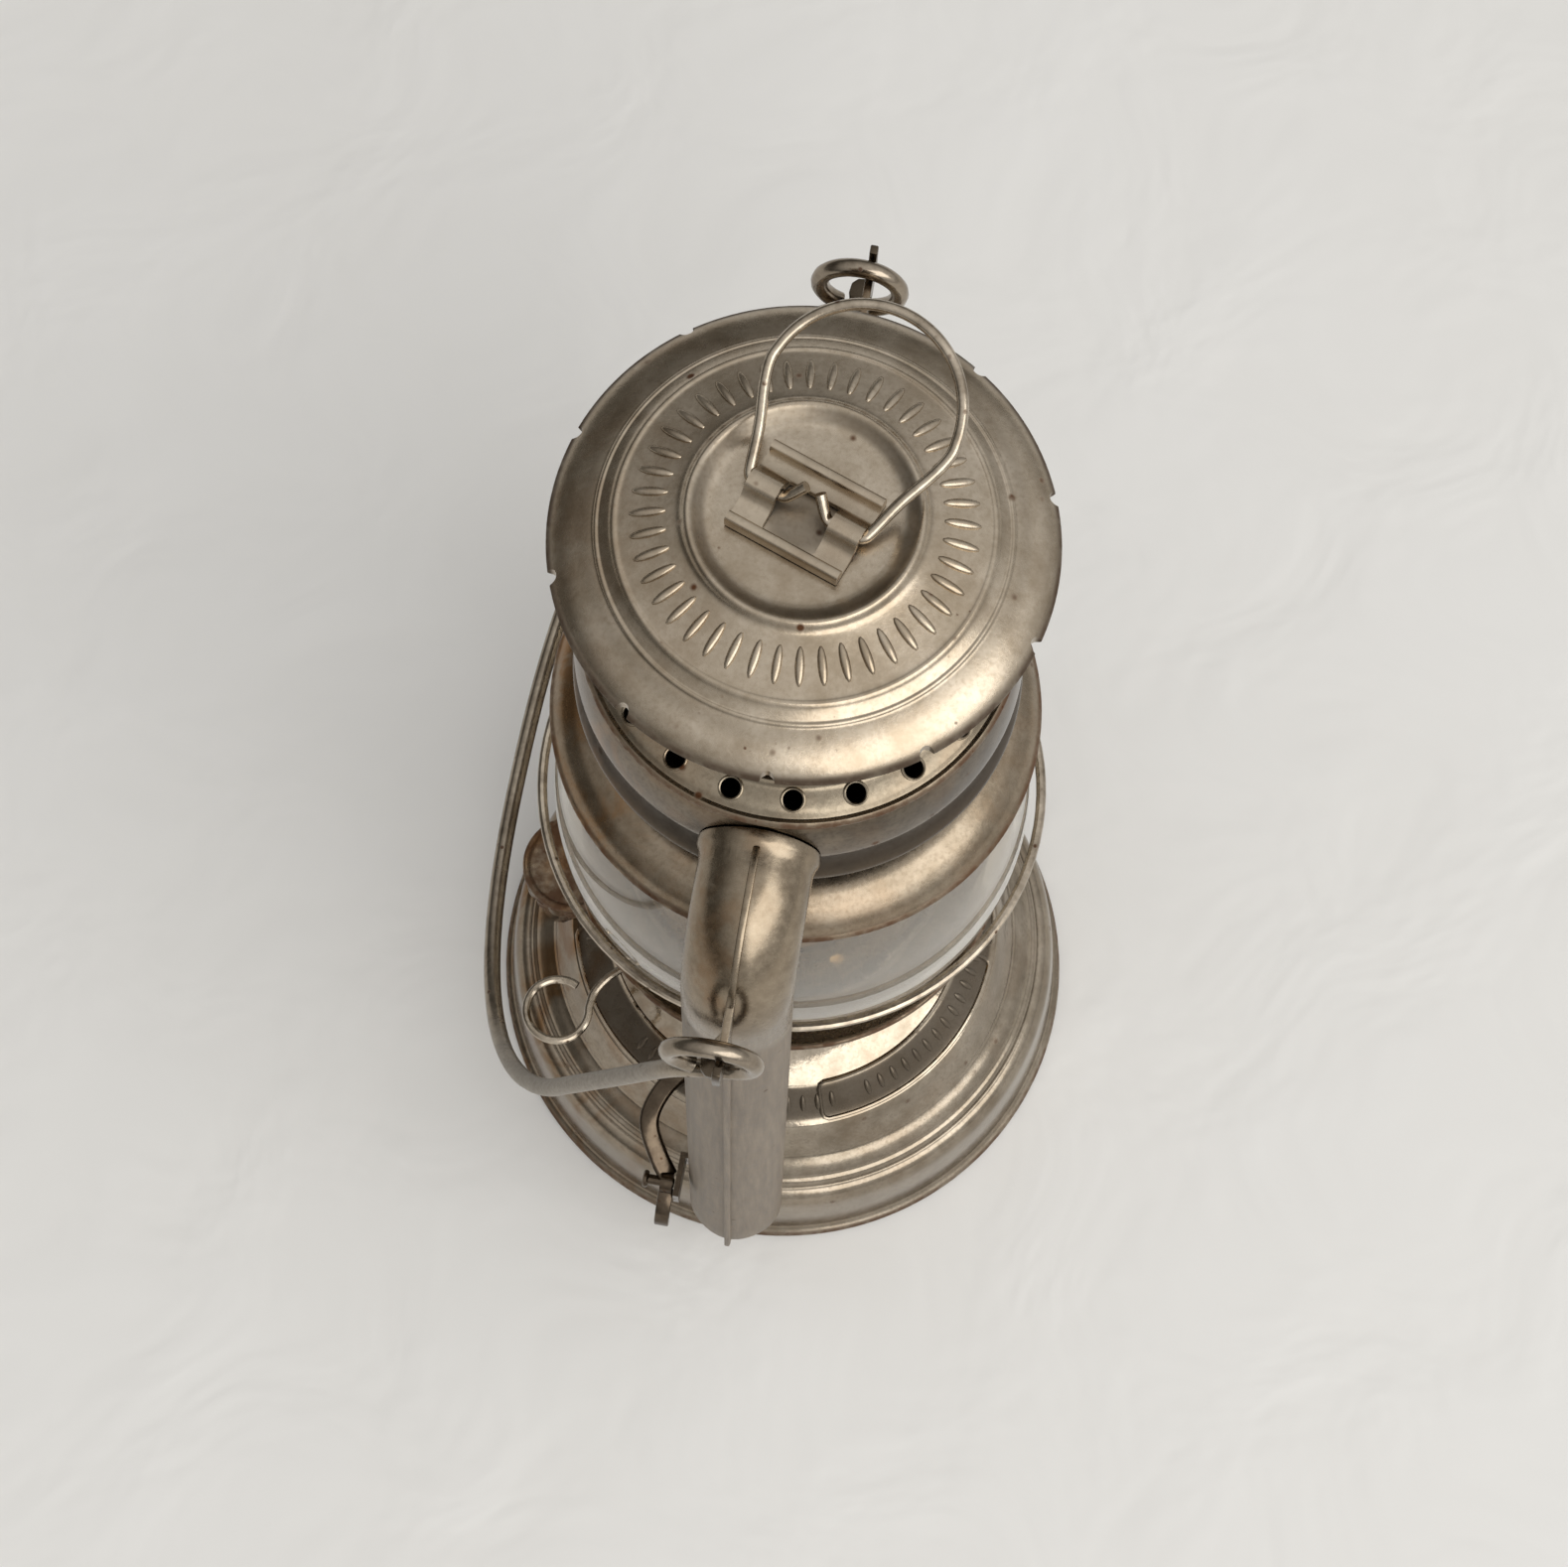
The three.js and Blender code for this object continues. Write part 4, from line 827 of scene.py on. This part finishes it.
def swept_tube(name, stations, close_foot=True):
    """Extrudes the mouth's oval from station to station: move, level, resize, lean again."""
    chain(name, tube_ring(stations[0]), closed=True)
    for before, after in zip(stations, stations[1:]):
        here = Vector((0, -before[0], before[1])) * MM
        there = Vector((0, -after[0], after[1])) * MM
        bpy.ops.mesh.extrude_edges_move(TRANSFORM_OT_translate={"value": there - here})
        level = {"orient_axis": "X", "center_override": there}
        deeper, wider = after[3] / before[3], after[4] / before[4]
        if before[2]:
            bpy.ops.transform.rotate(value=before[2], **level)
        if abs(deeper - 1) > 1e-6 or abs(wider - 1) > 1e-6:
            bpy.ops.transform.resize(value=(wider, 1, deeper), center_override=there)
        if after[2]:
            bpy.ops.transform.rotate(value=-after[2], **level)
    if close_foot:
        bpy.ops.mesh.merge(type="CENTER")
    take_all()
    bpy.ops.mesh.fill_holes(sides=0)
    tidy_skin()
    return leave()


def crest(station, rise):
    """A point over the tube's outer ridge, as (y, z)."""
    reach, z, lean, depth, width = station
    out = depth * (1 + RIDGE) + rise
    return (-reach - sin(lean) * out, z + cos(lean) * out)


def tube_seam():
    """The folded seam along the outer ridge, from the mouth to its pointed foot."""
    half, sunk, foot_stations = 0.6, 1.3, 5
    line = [s for s in tube_stations() if s[0] > 38.3][:-foot_stations]
    outer = [crest(s, 0.7 + 0.95 * min(i / 8, 1)) for i, s in enumerate(line)]
    outer += [(outer[-1][0] + 0.7, 18.4), (outer[-1][0] + 2.2, 16.2)]
    inner = [crest(s, -sunk) for s in line][::-1]
    corners = [(-half, y, z) for y, z in [*outer, (inner[0][0], 16.4), *inner]]
    return slab("seam", corners, (2 * half, 0, 0), soft=0.32)


def bail_lug():
    """Web through the bail's eye, with a flat tongue beside it and a hook beyond it."""
    half, low, thick, soft = 0.7, 205.2, 1.2, 0.25
    side_view = [(-56, 199.4), (-56, 213.6), (-60.5, 213.2), (-66, 212.7), (-71.8, 212.7),
                 (-72.3, 213.4), (-72.5, 216.0), (-74.2, 216.0), (-74.6, 214.8), (-74.4, 209.5),
                 (-73.2, 206.2), (-70.6, 204.6), (-67.4, 204.6)]
    top_view = [(-0.4, -62.5), (-1.0, -65.0), (-3.0, -68.0), (-3.4, -69.6), (-3.2, -71.4),
                (-2.2, -72.4), (-0.4, -72.6)]
    return [slab("lug_web", [(-half, y, z) for y, z in side_view], (2 * half, 0, 0), soft),
            slab("lug_tongue", [(x, y, low) for x, y in top_view], (0, 0, thick), soft)]


def keep_out_of_tank(gap):
    """What the tank takes up, with a gap all over, as a tool to cut a tube's foot with."""
    outline = smoothed(TANK_OUTLINE, 2)
    outer = walled(outline, -gap)[len(outline):][::-1]
    return turned("tank_tool", [(0, -4), (outer[0][0], -4), *outer, (0, outer[-1][1])], 96,
                  closed=False)


CROWN_WALL = [(34.6, 227.9), (35.5, 225.0), (36.4, 221.6), (37.0, 218.2), (37.15, 216.2),
              (36.75, 214.8), (36.3, 213.3), (36.2, 211.8), (36.5, 210.0), (37.1, 208.2),
              (37.7, 206.8)]


def keep_out_of_crown(gap):
    """What the crown takes up, with a gap all round."""
    top, low = 240, 205.1
    outer = [(r + gap, z) for r, z in CROWN_WALL]
    return turned("crown_tool", [(0, top), (outer[0][0], top), *outer,
                                 (outer[-1][0] + 0.1, low), (0, low)], 96, closed=False)


def eye_room():
    """The ring of room that the bail's eye takes up in the front lug."""
    sides, room = 32, 2.1
    line = [(BAIL_X + EYE * cos(a), -BAIL_REACH, BAIL_Z + EYE * sin(a))
            for a in (FULL * i / sides for i in range(sides))]
    return wire("eye_tool", line, room, closed=True, smooth=2)


def side_tubes():
    """The front tube with its collar, seam and lug, and its mirror image at the rear."""
    body = swept_tube("front_tube_skin", tube_stations())
    rolled = [(33.0, 8.8, 10.1), (37.2, 8.8, 10.1), (37.7, 8.6, 9.9), (38.3, 8.3, 9.6),
              (39.6, 8.05, 9.35)]
    collar = swept_tube("collar", [(reach, MOUTH_Z, 0.0, depth, width)
                                   for reach, depth, width in rolled], close_foot=False)
    weld(body, collar, tube_seam(), *bail_lug())
    cut(body, keep_out_of_crown(0.28), keep_out_of_tank(0.25), eye_room())
    edit(body)
    bpy.ops.mesh.remove_doubles(threshold=2 * SAME_POINT * MM)
    leave()
    rear = mirrored(body, "rear_tube_skin")
    fit(body, "dull_zinc", "frame", "front_tube", crease=38)
    fit(rear, "dull_zinc", "frame", "rear_tube", crease=38)


# Crown

def crown_shell():
    """The air chamber: wall, rolled lip, floor and inner tube, with a hole for each side tube."""
    outline = [(34.2, 227.75), *flowing(CROWN_WALL[1:], 3), (37.85, 206.2), (37.8, 205.7),
               (37.3, 205.45), (36.6, 205.6), (35.6, 206.6), (34.6, 207.7), (33.6, 208.3),
               (30, 208.45), (28.2, 208.5), (27.5, 208.9), (27.1, 209.8), (27.0, 212.0),
               (27.0, 231.4)]
    shell = turned("crown_shell_skin", walled([tuple(p) for p in outline], -SHEET))
    mouth = [(reach, MOUTH_Z, 0.0, 7.2, 8.5) for reach in (31.0, 42.0)]
    for rear in (False, True):
        hole = swept_tube("mouth_tool", mouth, close_foot=False)
        if rear:
            mirror(hole)
        cut(shell, hole)
    fit(shell, "crown_tin", "frame", "crown_shell")


def crown_plate():
    """Domed ring with twenty vents, each with a burr round it, and a rolled rim."""
    vents, vent_reach, vent_turn, slope = 20, 31.9, rad(8), rad(22.5)
    outline = [(34.0, 227.6), (35.0, 227.25), (35.85, 227.7), (35.95, 228.5), (35.3, 229.15),
               (34.6, 229.05), (33.6, 229.85), (31.9, 230.6), (30.4, 231.15), (29.9, 231.65),
               (29.3, 231.95), (28.6, 231.9), (27.9, 232.25), (27.0, 232.8), (25.6, 233.3),
               (24.4, 233.55), (23.55, 233.55)]
    plate = pressed("crown_plate_skin", outline)
    cut(plate, drills(vents, 1.65, on_circle(vent_reach, vent_turn, 230), 8))
    put_down()
    bpy.ops.mesh.primitive_torus_add(major_segments=24, minor_segments=8,
                                     major_radius=1.82 * MM, minor_radius=0.26 * MM)
    burr = bpy.context.object
    edit(burr)
    tip(slope, "Y")
    move((vent_reach, 0, 230.6))
    tip(vent_turn, "Z")
    around(vents)
    leave()
    fit(gather("crown_plate_skin", [plate, burr]), "vent_tin", "frame",
        "crown_plate")


def guard_ring():
    reach, z, sides, radius = 47.45, 139.0, 96, 0.95
    line = [on_circle(reach, FULL * i / sides, z) for i in range(sides)]
    fit(wire("guard_ring_skin", line, radius, closed=True), "wire_steel", "frame",
        "guard_ring")


# Hood, chimney and brim

HOOD_OUTLINE = [
    (37.7, 259.55), (38.4, 259.35), (38.85, 259.85), (38.85, 260.4), (38.5, 260.95),
    (37.7, 261.75), (36.6, 262.6), (35.2, 263.4), (33.6, 264.15), (32.4, 264.65), (31.75, 264.9),
    (31.45, 265.2), (31.15, 265.35), (30.85, 265.3), (30.5, 265.5), (29.9, 265.9), (29.3, 266.35),
    (28.95, 266.7), (28.6, 266.95), (28.25, 267.0), (27.9, 266.95), (27.2, 267.15), (25.5, 267.7),
    (23.4, 268.4), (21.4, 269.1), (19.8, 269.7), (19.0, 270.05), (18.5, 270.45), (18.1, 270.95),
    (17.7, 271.3), (17.3, 271.35), (16.8, 271.1), (16.1, 270.55), (15.3, 270.05), (14.5, 269.75),
    (13.5, 269.6), (10.0, 269.6), (5.0, 269.6), (0.0, 269.6),
]


def hood():
    """Pressed lid with ten notches in its rim and a ring of plain beads round its dish."""
    notches, beads = 10, 44
    shell = turned("hood_skin", lid(smoothed(HOOD_OUTLINE), SHEET), closed=False)
    cut(shell, drills(notches, 1.15, on_circle(38.75, rad(-88), 260), 8))
    ring = bead(1.0, 14, 10, (3.0, 0.72, 0.55), 18.5, (23.4, 0, 268.5))
    around(beads)
    leave()
    fit(gather("hood_skin", [shell, ring]), "hood_tin", "hood_set", "hood",
        crease=40)


def chimney():
    """Sheet tube from the brim up to the hood, with four windows for the exhaust."""
    wall = turned("chimney_skin", [(22.3, 191.6), (23.0, 191.6), (23.0, 267.95), (22.3, 268.1)],
                  120)
    cut(wall, *[soften(block((60, 24, 27), 256.5, rad(turn)), 2.2, 3) for turn in (45, 135)])
    fit(wall, "crown_tin", "hood_set", "chimney")


def globe_cap():
    """Wide brim under the crown, with a rolled rim over the globe's mouth."""
    outline = [(42.3, 183.75), (42.95, 183.95), (43.15, 184.6), (42.85, 185.15), (42.4, 185.6),
               (41.6, 186.8), (40.9, 187.6), (40.0, 188.4), (38.8, 189.3), (37.5, 189.95),
               (36.3, 190.5), (35.0, 190.85), (32.8, 191.15), (30.0, 191.2), (26.0, 191.2),
               (22.2, 191.2)]
    fit(pressed("globe_cap_skin", outline), "brim_tin", "hood_set", "globe_cap")


def hood_spring():
    """Two half coils, each its own piece: an upper one by the crown and a lower one by the hood."""
    reach, low, high, turns, per, radius = 24.74, 192.1, 231.8, 6, 28, 0.6
    whole = [on_circle(reach, FULL * i / per, low + (high - low) * i / (per * turns))
             for i in range(per * turns + 1)]
    middle = per * turns // 2
    lower = wire("hood_spring_lower", whole[:middle + 1], radius, smooth=1)
    upper = wire("hood_spring_upper", whole[middle:], radius, smooth=1)
    for piece in (lower, upper):
        polish(piece, "wire_steel", 40)
        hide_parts("hood_spring")
    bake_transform(upper)
    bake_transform(lower)


# Clip and pull ring on the hood, drawn along X and then turned

CLIP_TURN, DISH, PIVOT = rad(-20), 269.6, 2.1


def hood_clip():
    """One sheet arched over the ring's feet, with a window and a rail along each side."""
    low, half_length, half_width, bore, rail = GAP, 9.5, 7.5, 1.18, 0.9
    through = (2 * half_length, 0, 0)

    def arched(foot, radius, start):
        """Half a section from its foot up over the tunnel, and its mirror image."""
        half = foot + arc(8, rad(start), 0,
                          lambda a: (radius * sin(a), PIVOT + radius * cos(a)))
        return half + [(-y, z) for y, z in half[-2::-1]]

    top = low + SHEET
    over = arched([(half_width, top), (4.6, top), (3.4, top + 0.15), (2.6, top + 0.75)],
                  bore + SHEET, 66)
    under = arched([(half_width, low), (4.2, low), (3.0, low + 0.1), (2.0, low + 0.6),
                    (bore + 0.1, PIVOT - 0.5)], bore, 90)
    plate = slab("hood_clip_skin", [(-half_length, y, z) for y, z in [*over, *under[::-1]]],
                 through, soft=0)
    cut(plate, slab("clip_window",
                    [(-4.4, -5.4, -2), (4.4, -5.4, -2), (4.4, 3.0, -2), (-4.4, 3.0, -2)],
                    (0, 0, 8), soft=0.5))
    for side in (-1, 1):
        rolled = arc(9, 0, pi, lambda a: (side * (half_width - rail + rail * cos(a)),
                                               low + 1.6 + rail * sin(a)))
        section = [(side * (half_width - 2 * rail), low), (side * half_width, low), *rolled]
        weld(plate, slab("clip_rail", [(-half_length, y, z) for y, z in section], through, soft=0))
    soften(plate, 0.14, 2, angle=50)
    laid(plate, CLIP_TURN, "Z", (0, 0, DISH))
    fit(plate, "clip_tin", "hood_set", "hood_clip")


def pull_ring():
    """D-shaped wire whose two ends run through the clip's tunnels and bend up in its window."""
    lean, half_width, length, radius = rad(22), 15.2, 31.9, 0.9
    centre = length - half_width
    ends = [(1.15, 2.2, 2.7), (1.7, 1.7, 2.1), (2.7, 0.75, 0.95), (3.5, 0.15, 0.2), (4.4, 0, 0)]
    side = [(5.5, 0, 0), (8.3, 0, 0), (9.7, 0.45, 0), (10.4, 2.0, 0), (12.0, centre * 0.45, 0),
            (14.2, centre * 0.78, 0)]
    bow = arc(10, 0, RIGHT_ANGLE,
              lambda a: (half_width * cos(a), centre + half_width * sin(a), 0))
    tilt = Matrix.Rotation(lean, 3, "X")
    half = [Vector(p) for p in ends] + [tilt @ Vector(p) for p in (*side, *bow)]
    other = [Vector((-p.x, p.y, p.z)) for p in half[:-1]][::-1]
    line = flowing([*half, *other], 5)
    line = spun([p + Vector((0, 0, PIVOT)) for p in line], CLIP_TURN, DISH)
    fit(wire("pull_ring_skin", line, radius, smooth=4), "wire_steel", "pull_ring",
        "pull_ring")


# Globe and its plate

def globe():
    """Clear glass, its wall swelling from foot and neck to the belly by these shares."""
    bottom, top, foot, neck, belly, wall = 95.0, 189.9, 33.6, 32.2, 45.1, 1.7
    shares = [(0.00, 0.00), (0.10, 0.035), (0.30, 0.075), (0.48, 0.12), (0.82, 0.25), (0.98, 0.38),
              (0.98, 0.52), (0.82, 0.67), (0.55, 0.79), (0.24, 0.89), (0.06, 0.965), (0.00, 1.00)]
    outer = []
    for swell, rise in shares:
        base = foot + (neck - foot) * rise
        outer.append((base + (belly - base) * swell, bottom + (top - bottom) * rise))
    glass = turned("globe_glass", walled(smoothed(outer, 6), wall), 144)
    fit(soften(glass, 0.6, 3, angle=50), "lamp_glass", "globe_set", "globe")


def globe_plate():
    """Dish with sixteen holes and a rolled rim, and the foot that the lever lifts."""
    outline = [(42.2, 99.5), (42.95, 99.2), (43.3, 99.85), (43.05, 100.6), (42.4, 100.65),
               (41.7, 100.0), (40.4, 98.8), (38.0, 96.7), (36.0, 95.1), (35.2, 94.75),
               (34.4, 94.6), (33.4, 94.5), (31.0, 94.6), (29.8, 94.4), (28.6, 93.4), (25.5, 91.3),
               (22.4, 89.1), (21.2, 88.5), (19.7, 88.4)]
    plate = pressed("globe_plate_skin", outline)
    cut(plate, drills(16, 1.5, on_circle(25.5, FULL / 32, 91), 12))
    near, far, half, low, high, soft = 36.6, 44.6, 2.5, 62.35, 95.3, 0.2
    strap = slab("foot_strap", [(near, -half, high), (near, half, high), (near, half, low),
                                (near, -half, low)], (1, 0, 0), soft)
    sole = slab("foot_sole", [(near, -half, low), (far, -half, low), (far, half, low),
                              (near, half, low)], (0, 0, 1), soft)
    foot = laid(gather("foot", [strap, sole]), rad(-99), "Z")
    fit(gather("globe_plate_skin", [plate, foot]), "brim_tin", "globe_set",
        "globe_plate")


# Burner, wick and wick raiser

RAISER_TURN, RAISER_Z, RAISER_OFFSET = rad(224), 66.0, 4.2


def burner():
    """Brass body with a slot for the wick and a ring of vents, and the slotted cone over it."""
    outline = [(15.1, 44.2), (16.0, 44.2), (16.0, 50.35), (19.8, 50.35), (20.35, 50.7),
               (20.35, 51.3), (19.8, 51.75), (18.0, 51.9), (17.0, 52.6), (16.3, 54.6),
               (16.0, 57.0), (16.0, 62.0), (15.7, 62.5), (15.7, 63.3), (16.0, 63.8), (16.0, 70.6),
               (15.6, 71.5), (14.8, 71.95), (8.0, 71.95), (0, 71.95)]
    body = turned("burner_body_skin", [(0, 71.0), (14.6, 71.0), (15.0, 70.2), *outline], 96,
                  closed=False)
    slot = block((15.2, 4.5, 6), 72, RAISER_TURN)
    shaft = spun([(x, -RAISER_OFFSET, RAISER_Z) for x in (0, 24)], RAISER_TURN)
    cut(body, slot, wire("shaft_tool", shaft, 1.05, smooth=2),
        drills(24, 0.9, (16, 0, 58.5), 6, turn=(0, RIGHT_ANGLE, 0), sides=16))
    fit(body, "aged_brass", "frame", "burner_body")
    low = 72.3
    dome = [(16.95, low + 0.05), (16.95, low + 1.0)]
    dome += arc(14, 0, RIGHT_ANGLE - 0.02,
                lambda a: (9 + 7 * cos(a) ** 0.8, low + 1 + 18.4 * sin(a)))
    dome += [(6.0, low + 19.7), (0, low + 19.9)]
    cone = turned("burner_cone_skin", domed(dome, THIN_SHEET), 96, closed=False)
    cut(cone, soften(block((16.4, 5, 29), low + 24, RAISER_TURN), 1.2, 3))
    fit(cone, "aged_brass", "frame", "burner_cone", crease=40)


def wick_raiser():
    """Shaft, spur wheels and finger loop, from one bent wire."""
    radius, loop_reach, loop_radius = 0.88, 55.4, 6.6
    loop = arc(30, rad(150), rad(-162),
               lambda a: (loop_reach + loop_radius * cos(a), loop_radius * sin(a), 0))
    line = [(-5.4, 0, 0), (0, 0, 0), (20, 0, 0), (38, 0, 0), (43, 0.1, 0), (47, 1.2, 0)]
    line = [*flowing([*line, loop[0]], 4)[:-1], *loop]
    shift = Vector((0, -RAISER_OFFSET, 0))
    bent = wire("wick_raiser_skin",
                spun([Vector(p) + shift for p in line], RAISER_TURN, RAISER_Z), radius)
    wheels = []
    corners, crown, root, apart, thick = 32, 2.9, 2.4, 3.0, 1.2
    for side in (-1, 1):
        rim = []
        for i in range(corners):
            a, reach = FULL * i / corners, crown if i % 4 in (0, 1) else root
            rim.append((side * apart - thick / 2, reach * cos(a) - RAISER_OFFSET,
                        reach * sin(a)))
        through = spun([(thick, 0, 0)], RAISER_TURN)[0]
        wheels.append(slab("spur_wheel", spun(rim, RAISER_TURN, RAISER_Z), through, soft=0))
    fit(gather("wick_raiser_skin", [bent, *wheels]), "wire_steel", "wick_raiser",
        "wick_raiser")


# Lift lever on its bracket

def on_pin(piece, x):
    """Lays a piece that was turned at the origin on the lever's axis."""
    return laid(piece, RIGHT_ANGLE, "Y", (x, -64.6, 50.0))


def lift_lever():
    """Flat arm up to the globe's foot, with an eye on its pin and a thumb tab outside."""
    lever_x, half = -14.0, 1.55
    points = [(-14.0, -63.2, 50.2), (-17.0, -59.4, 53.0), (-19.9, -53.2, 56.2),
              (-18.0, -46.6, 58.6),
              (-13.6, -41.2, 60.0), (-9.4, -38.2, 60.6), (-6.0, -36.0, 60.8)]
    arm = wire("lift_lever_skin", flowing(points, 5), 0.75, smooth=2, breadth=4.2)
    eye = turned("lever_eye", [(1.45, -1.25), (2.3, -1.25), (2.3, 1.25), (1.45, 1.25)], 32)
    on_pin(eye, lever_x)
    side_view = [(-65.4, 48.9), (-68.2, 48.0), (-70.6, 46.4), (-72.2, 44.0), (-72.7, 41.6),
                 (-71.5, 41.1), (-70.9, 43.2), (-69.4, 45.4), (-67.4, 46.7), (-65.4, 47.4)]
    tab = slab("lever_tab", [(lever_x - half, y, z) for y, z in side_view], (2 * half, 0, 0),
               soft=0.3)
    fit(gather("lift_lever_skin", [arm, eye, tab]), "lever_wire", "lift_lever",
        "lift_lever")
    section = [(0, -0.2), (1.5, -0.2), (1.85, 0.1), (1.85, 0.6), (1.5, 0.95), (1.1, 1.0),
               (1.1, 6.3), (0.9, 6.55), (0, 6.55)]
    pin = turned("lever_pin_skin", section, 32, closed=False)
    fit(on_pin(pin, -18.95), "lever_wire", "frame", "lever_pin")


# Bail

def bail():
    """One wire: an eye closed round each lug, and the bow between them, hanging out to the side."""
    depth, straight, power, start, swing, radius = 106.0, 50.0, 2.35, 0.12, rad(30), 1.6

    def eye_line(y):
        ring = arc(40, rad(272), rad(-38), lambda a: (EYE * cos(a), y, EYE * sin(a)))
        neck = [(3.7, y, -7.6), (1.3, y, -12.0), (0.2, y, -18.0), (0, y, -30.0)]
        return ring[:-2] + flowing([*ring[-2:], *neck], 4)

    def bow(a):
        across = copysign(abs(cos(a)) ** (2 / power), cos(a))
        down = abs(sin(a)) ** (2 / power)
        return (0, -BAIL_REACH * across, -(straight + (depth - straight) * down))

    line = [*eye_line(-BAIL_REACH), *arc(70, start, pi - start, bow),
            *eye_line(BAIL_REACH)[::-1]]
    turn = Matrix.Rotation(swing, 3, "Y")
    line = [turn @ Vector(p) + Vector((BAIL_X, 0, BAIL_Z)) for p in line]
    fit(wire("bail_skin", line, radius, smooth=4), "bail_wire", "bail", "bail",
        crease=50)


# Making

for make in (tank_shell, filler_cap, side_tubes, crown_shell, crown_plate, guard_ring, hood,
             chimney, globe_cap, hood_spring, hood_clip, pull_ring, globe, globe_plate, burner,
             wick_raiser, lift_lever, bail):
    make()

# CAD nodes that stay, with a better finish
for node, finish in (("tank_bottom", "tank_tin"), ("filler_neck", "tank_tin"),
                     ("filler_seal", "pressed_cork"), ("wick_tube", "aged_brass"),
                     ("wick", "woven_wick"), ("lever_bracket", "lever_wire")):
    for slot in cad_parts[node].material_slots:
        slot.material = FINISHES[finish]


# Floor, light and camera

def floor():
    """A cloth so wide that no view sees its edge, 40 m."""
    put_down()
    bpy.ops.mesh.primitive_plane_add(size=40)
    cloth = bpy.context.object
    cloth.name = "table"
    cloth.data.materials.append(FINISHES["table_cloth"])


def put(name, data, place, turn):
    """Puts a lamp or camera in the scene, in metres, turned by a matrix."""
    holder = bpy.data.objects.new(name, data)
    bpy.context.scene.collection.objects.link(holder)
    holder.matrix_world = Matrix.Translation(place) @ turn.to_4x4()
    return holder


def window():
    """One broad lamp, high on the right in front."""
    light = bpy.data.lights.new("window", "AREA")
    light.shape = "RECTANGLE"
    light.size, light.size_y = 2.2, 1.35
    light.energy = 20.5
    light.color = (1.0, 0.985, 0.95)
    place = Vector((1.165, -0.978, 1.52))
    way = Vector((0, 0, 0.1)) - place
    put("window", light, place, way.to_track_quat("-Z", "Y").to_matrix())


def room():
    """A world that is bright above and dim round about. Seen plainly or through glass it is an
    even pale tone."""
    world = bpy.data.worlds.new("room")
    bpy.context.scene.world = world
    world.use_nodes = True
    tree = world.node_tree
    tree.nodes.clear()
    path, way, along, rise, dim, pale, clear, mix, out = (
        tree.nodes.new("ShaderNode" + kind) for kind in (
            "LightPath", "TexCoord", "VectorMath", "ValToRGB", "Background", "Background",
            "Math", "MixShader", "OutputWorld"))
    along.operation = "DOT_PRODUCT"
    along.inputs[1].default_value = Vector((0.42, -0.20, 0.885)).normalized()
    low, high = rise.color_ramp.elements
    low.position, low.color = 0.0, (0.13, 0.125, 0.115, 1)
    high.position, high.color = 1.0, (0.98, 0.97, 0.955, 1)
    rise.color_ramp.elements.new(0.28).color = (0.44, 0.43, 0.415, 1)
    pale.inputs["Color"].default_value = (0.72, 0.715, 0.70, 1)
    clear.operation = "MAXIMUM"
    for source, target in (
            (way.outputs["Generated"], along.inputs[0]), (along.outputs["Value"], rise.inputs[0]),
            (rise.outputs[0], dim.inputs["Color"]),
            (path.outputs["Is Camera Ray"], clear.inputs[0]),
            (path.outputs["Is Transmission Ray"], clear.inputs[1]),
            (clear.outputs[0], mix.inputs[0]), (dim.outputs[0], mix.inputs[1]),
            (pale.outputs[0], mix.inputs[2]), (mix.outputs[0], out.inputs["Surface"])):
        tree.links.new(source, target)


def camera():
    """The photograph's camera, found from the circles of the lantern."""
    focal_px, frame_px = 2940.0, 1579.0
    tilt, roll, about = rad(72.4), rad(2.38), Matrix.Rotation(rad(8.0), 3, "Z")
    data = bpy.data.cameras.new("camera")
    data.sensor_width = 36.0
    data.lens = focal_px / frame_px * data.sensor_width
    data.clip_start = 0.01
    ahead = about @ Vector((0, cos(tilt), -sin(tilt)))
    right = about @ Vector((1, 0, 0))
    above = right.cross(ahead)
    across = right * cos(roll) + above * sin(roll)
    upward = above * cos(roll) - right * sin(roll)
    rows = Matrix((across, upward, -ahead)).transposed()
    bpy.context.scene.camera = put("camera", data,
                                   about @ Vector((-1.5, -168.1, 668.2)) * MM, rows)


floor()
room()
window()
camera()
bpy.context.scene.view_settings.view_transform = "Standard"
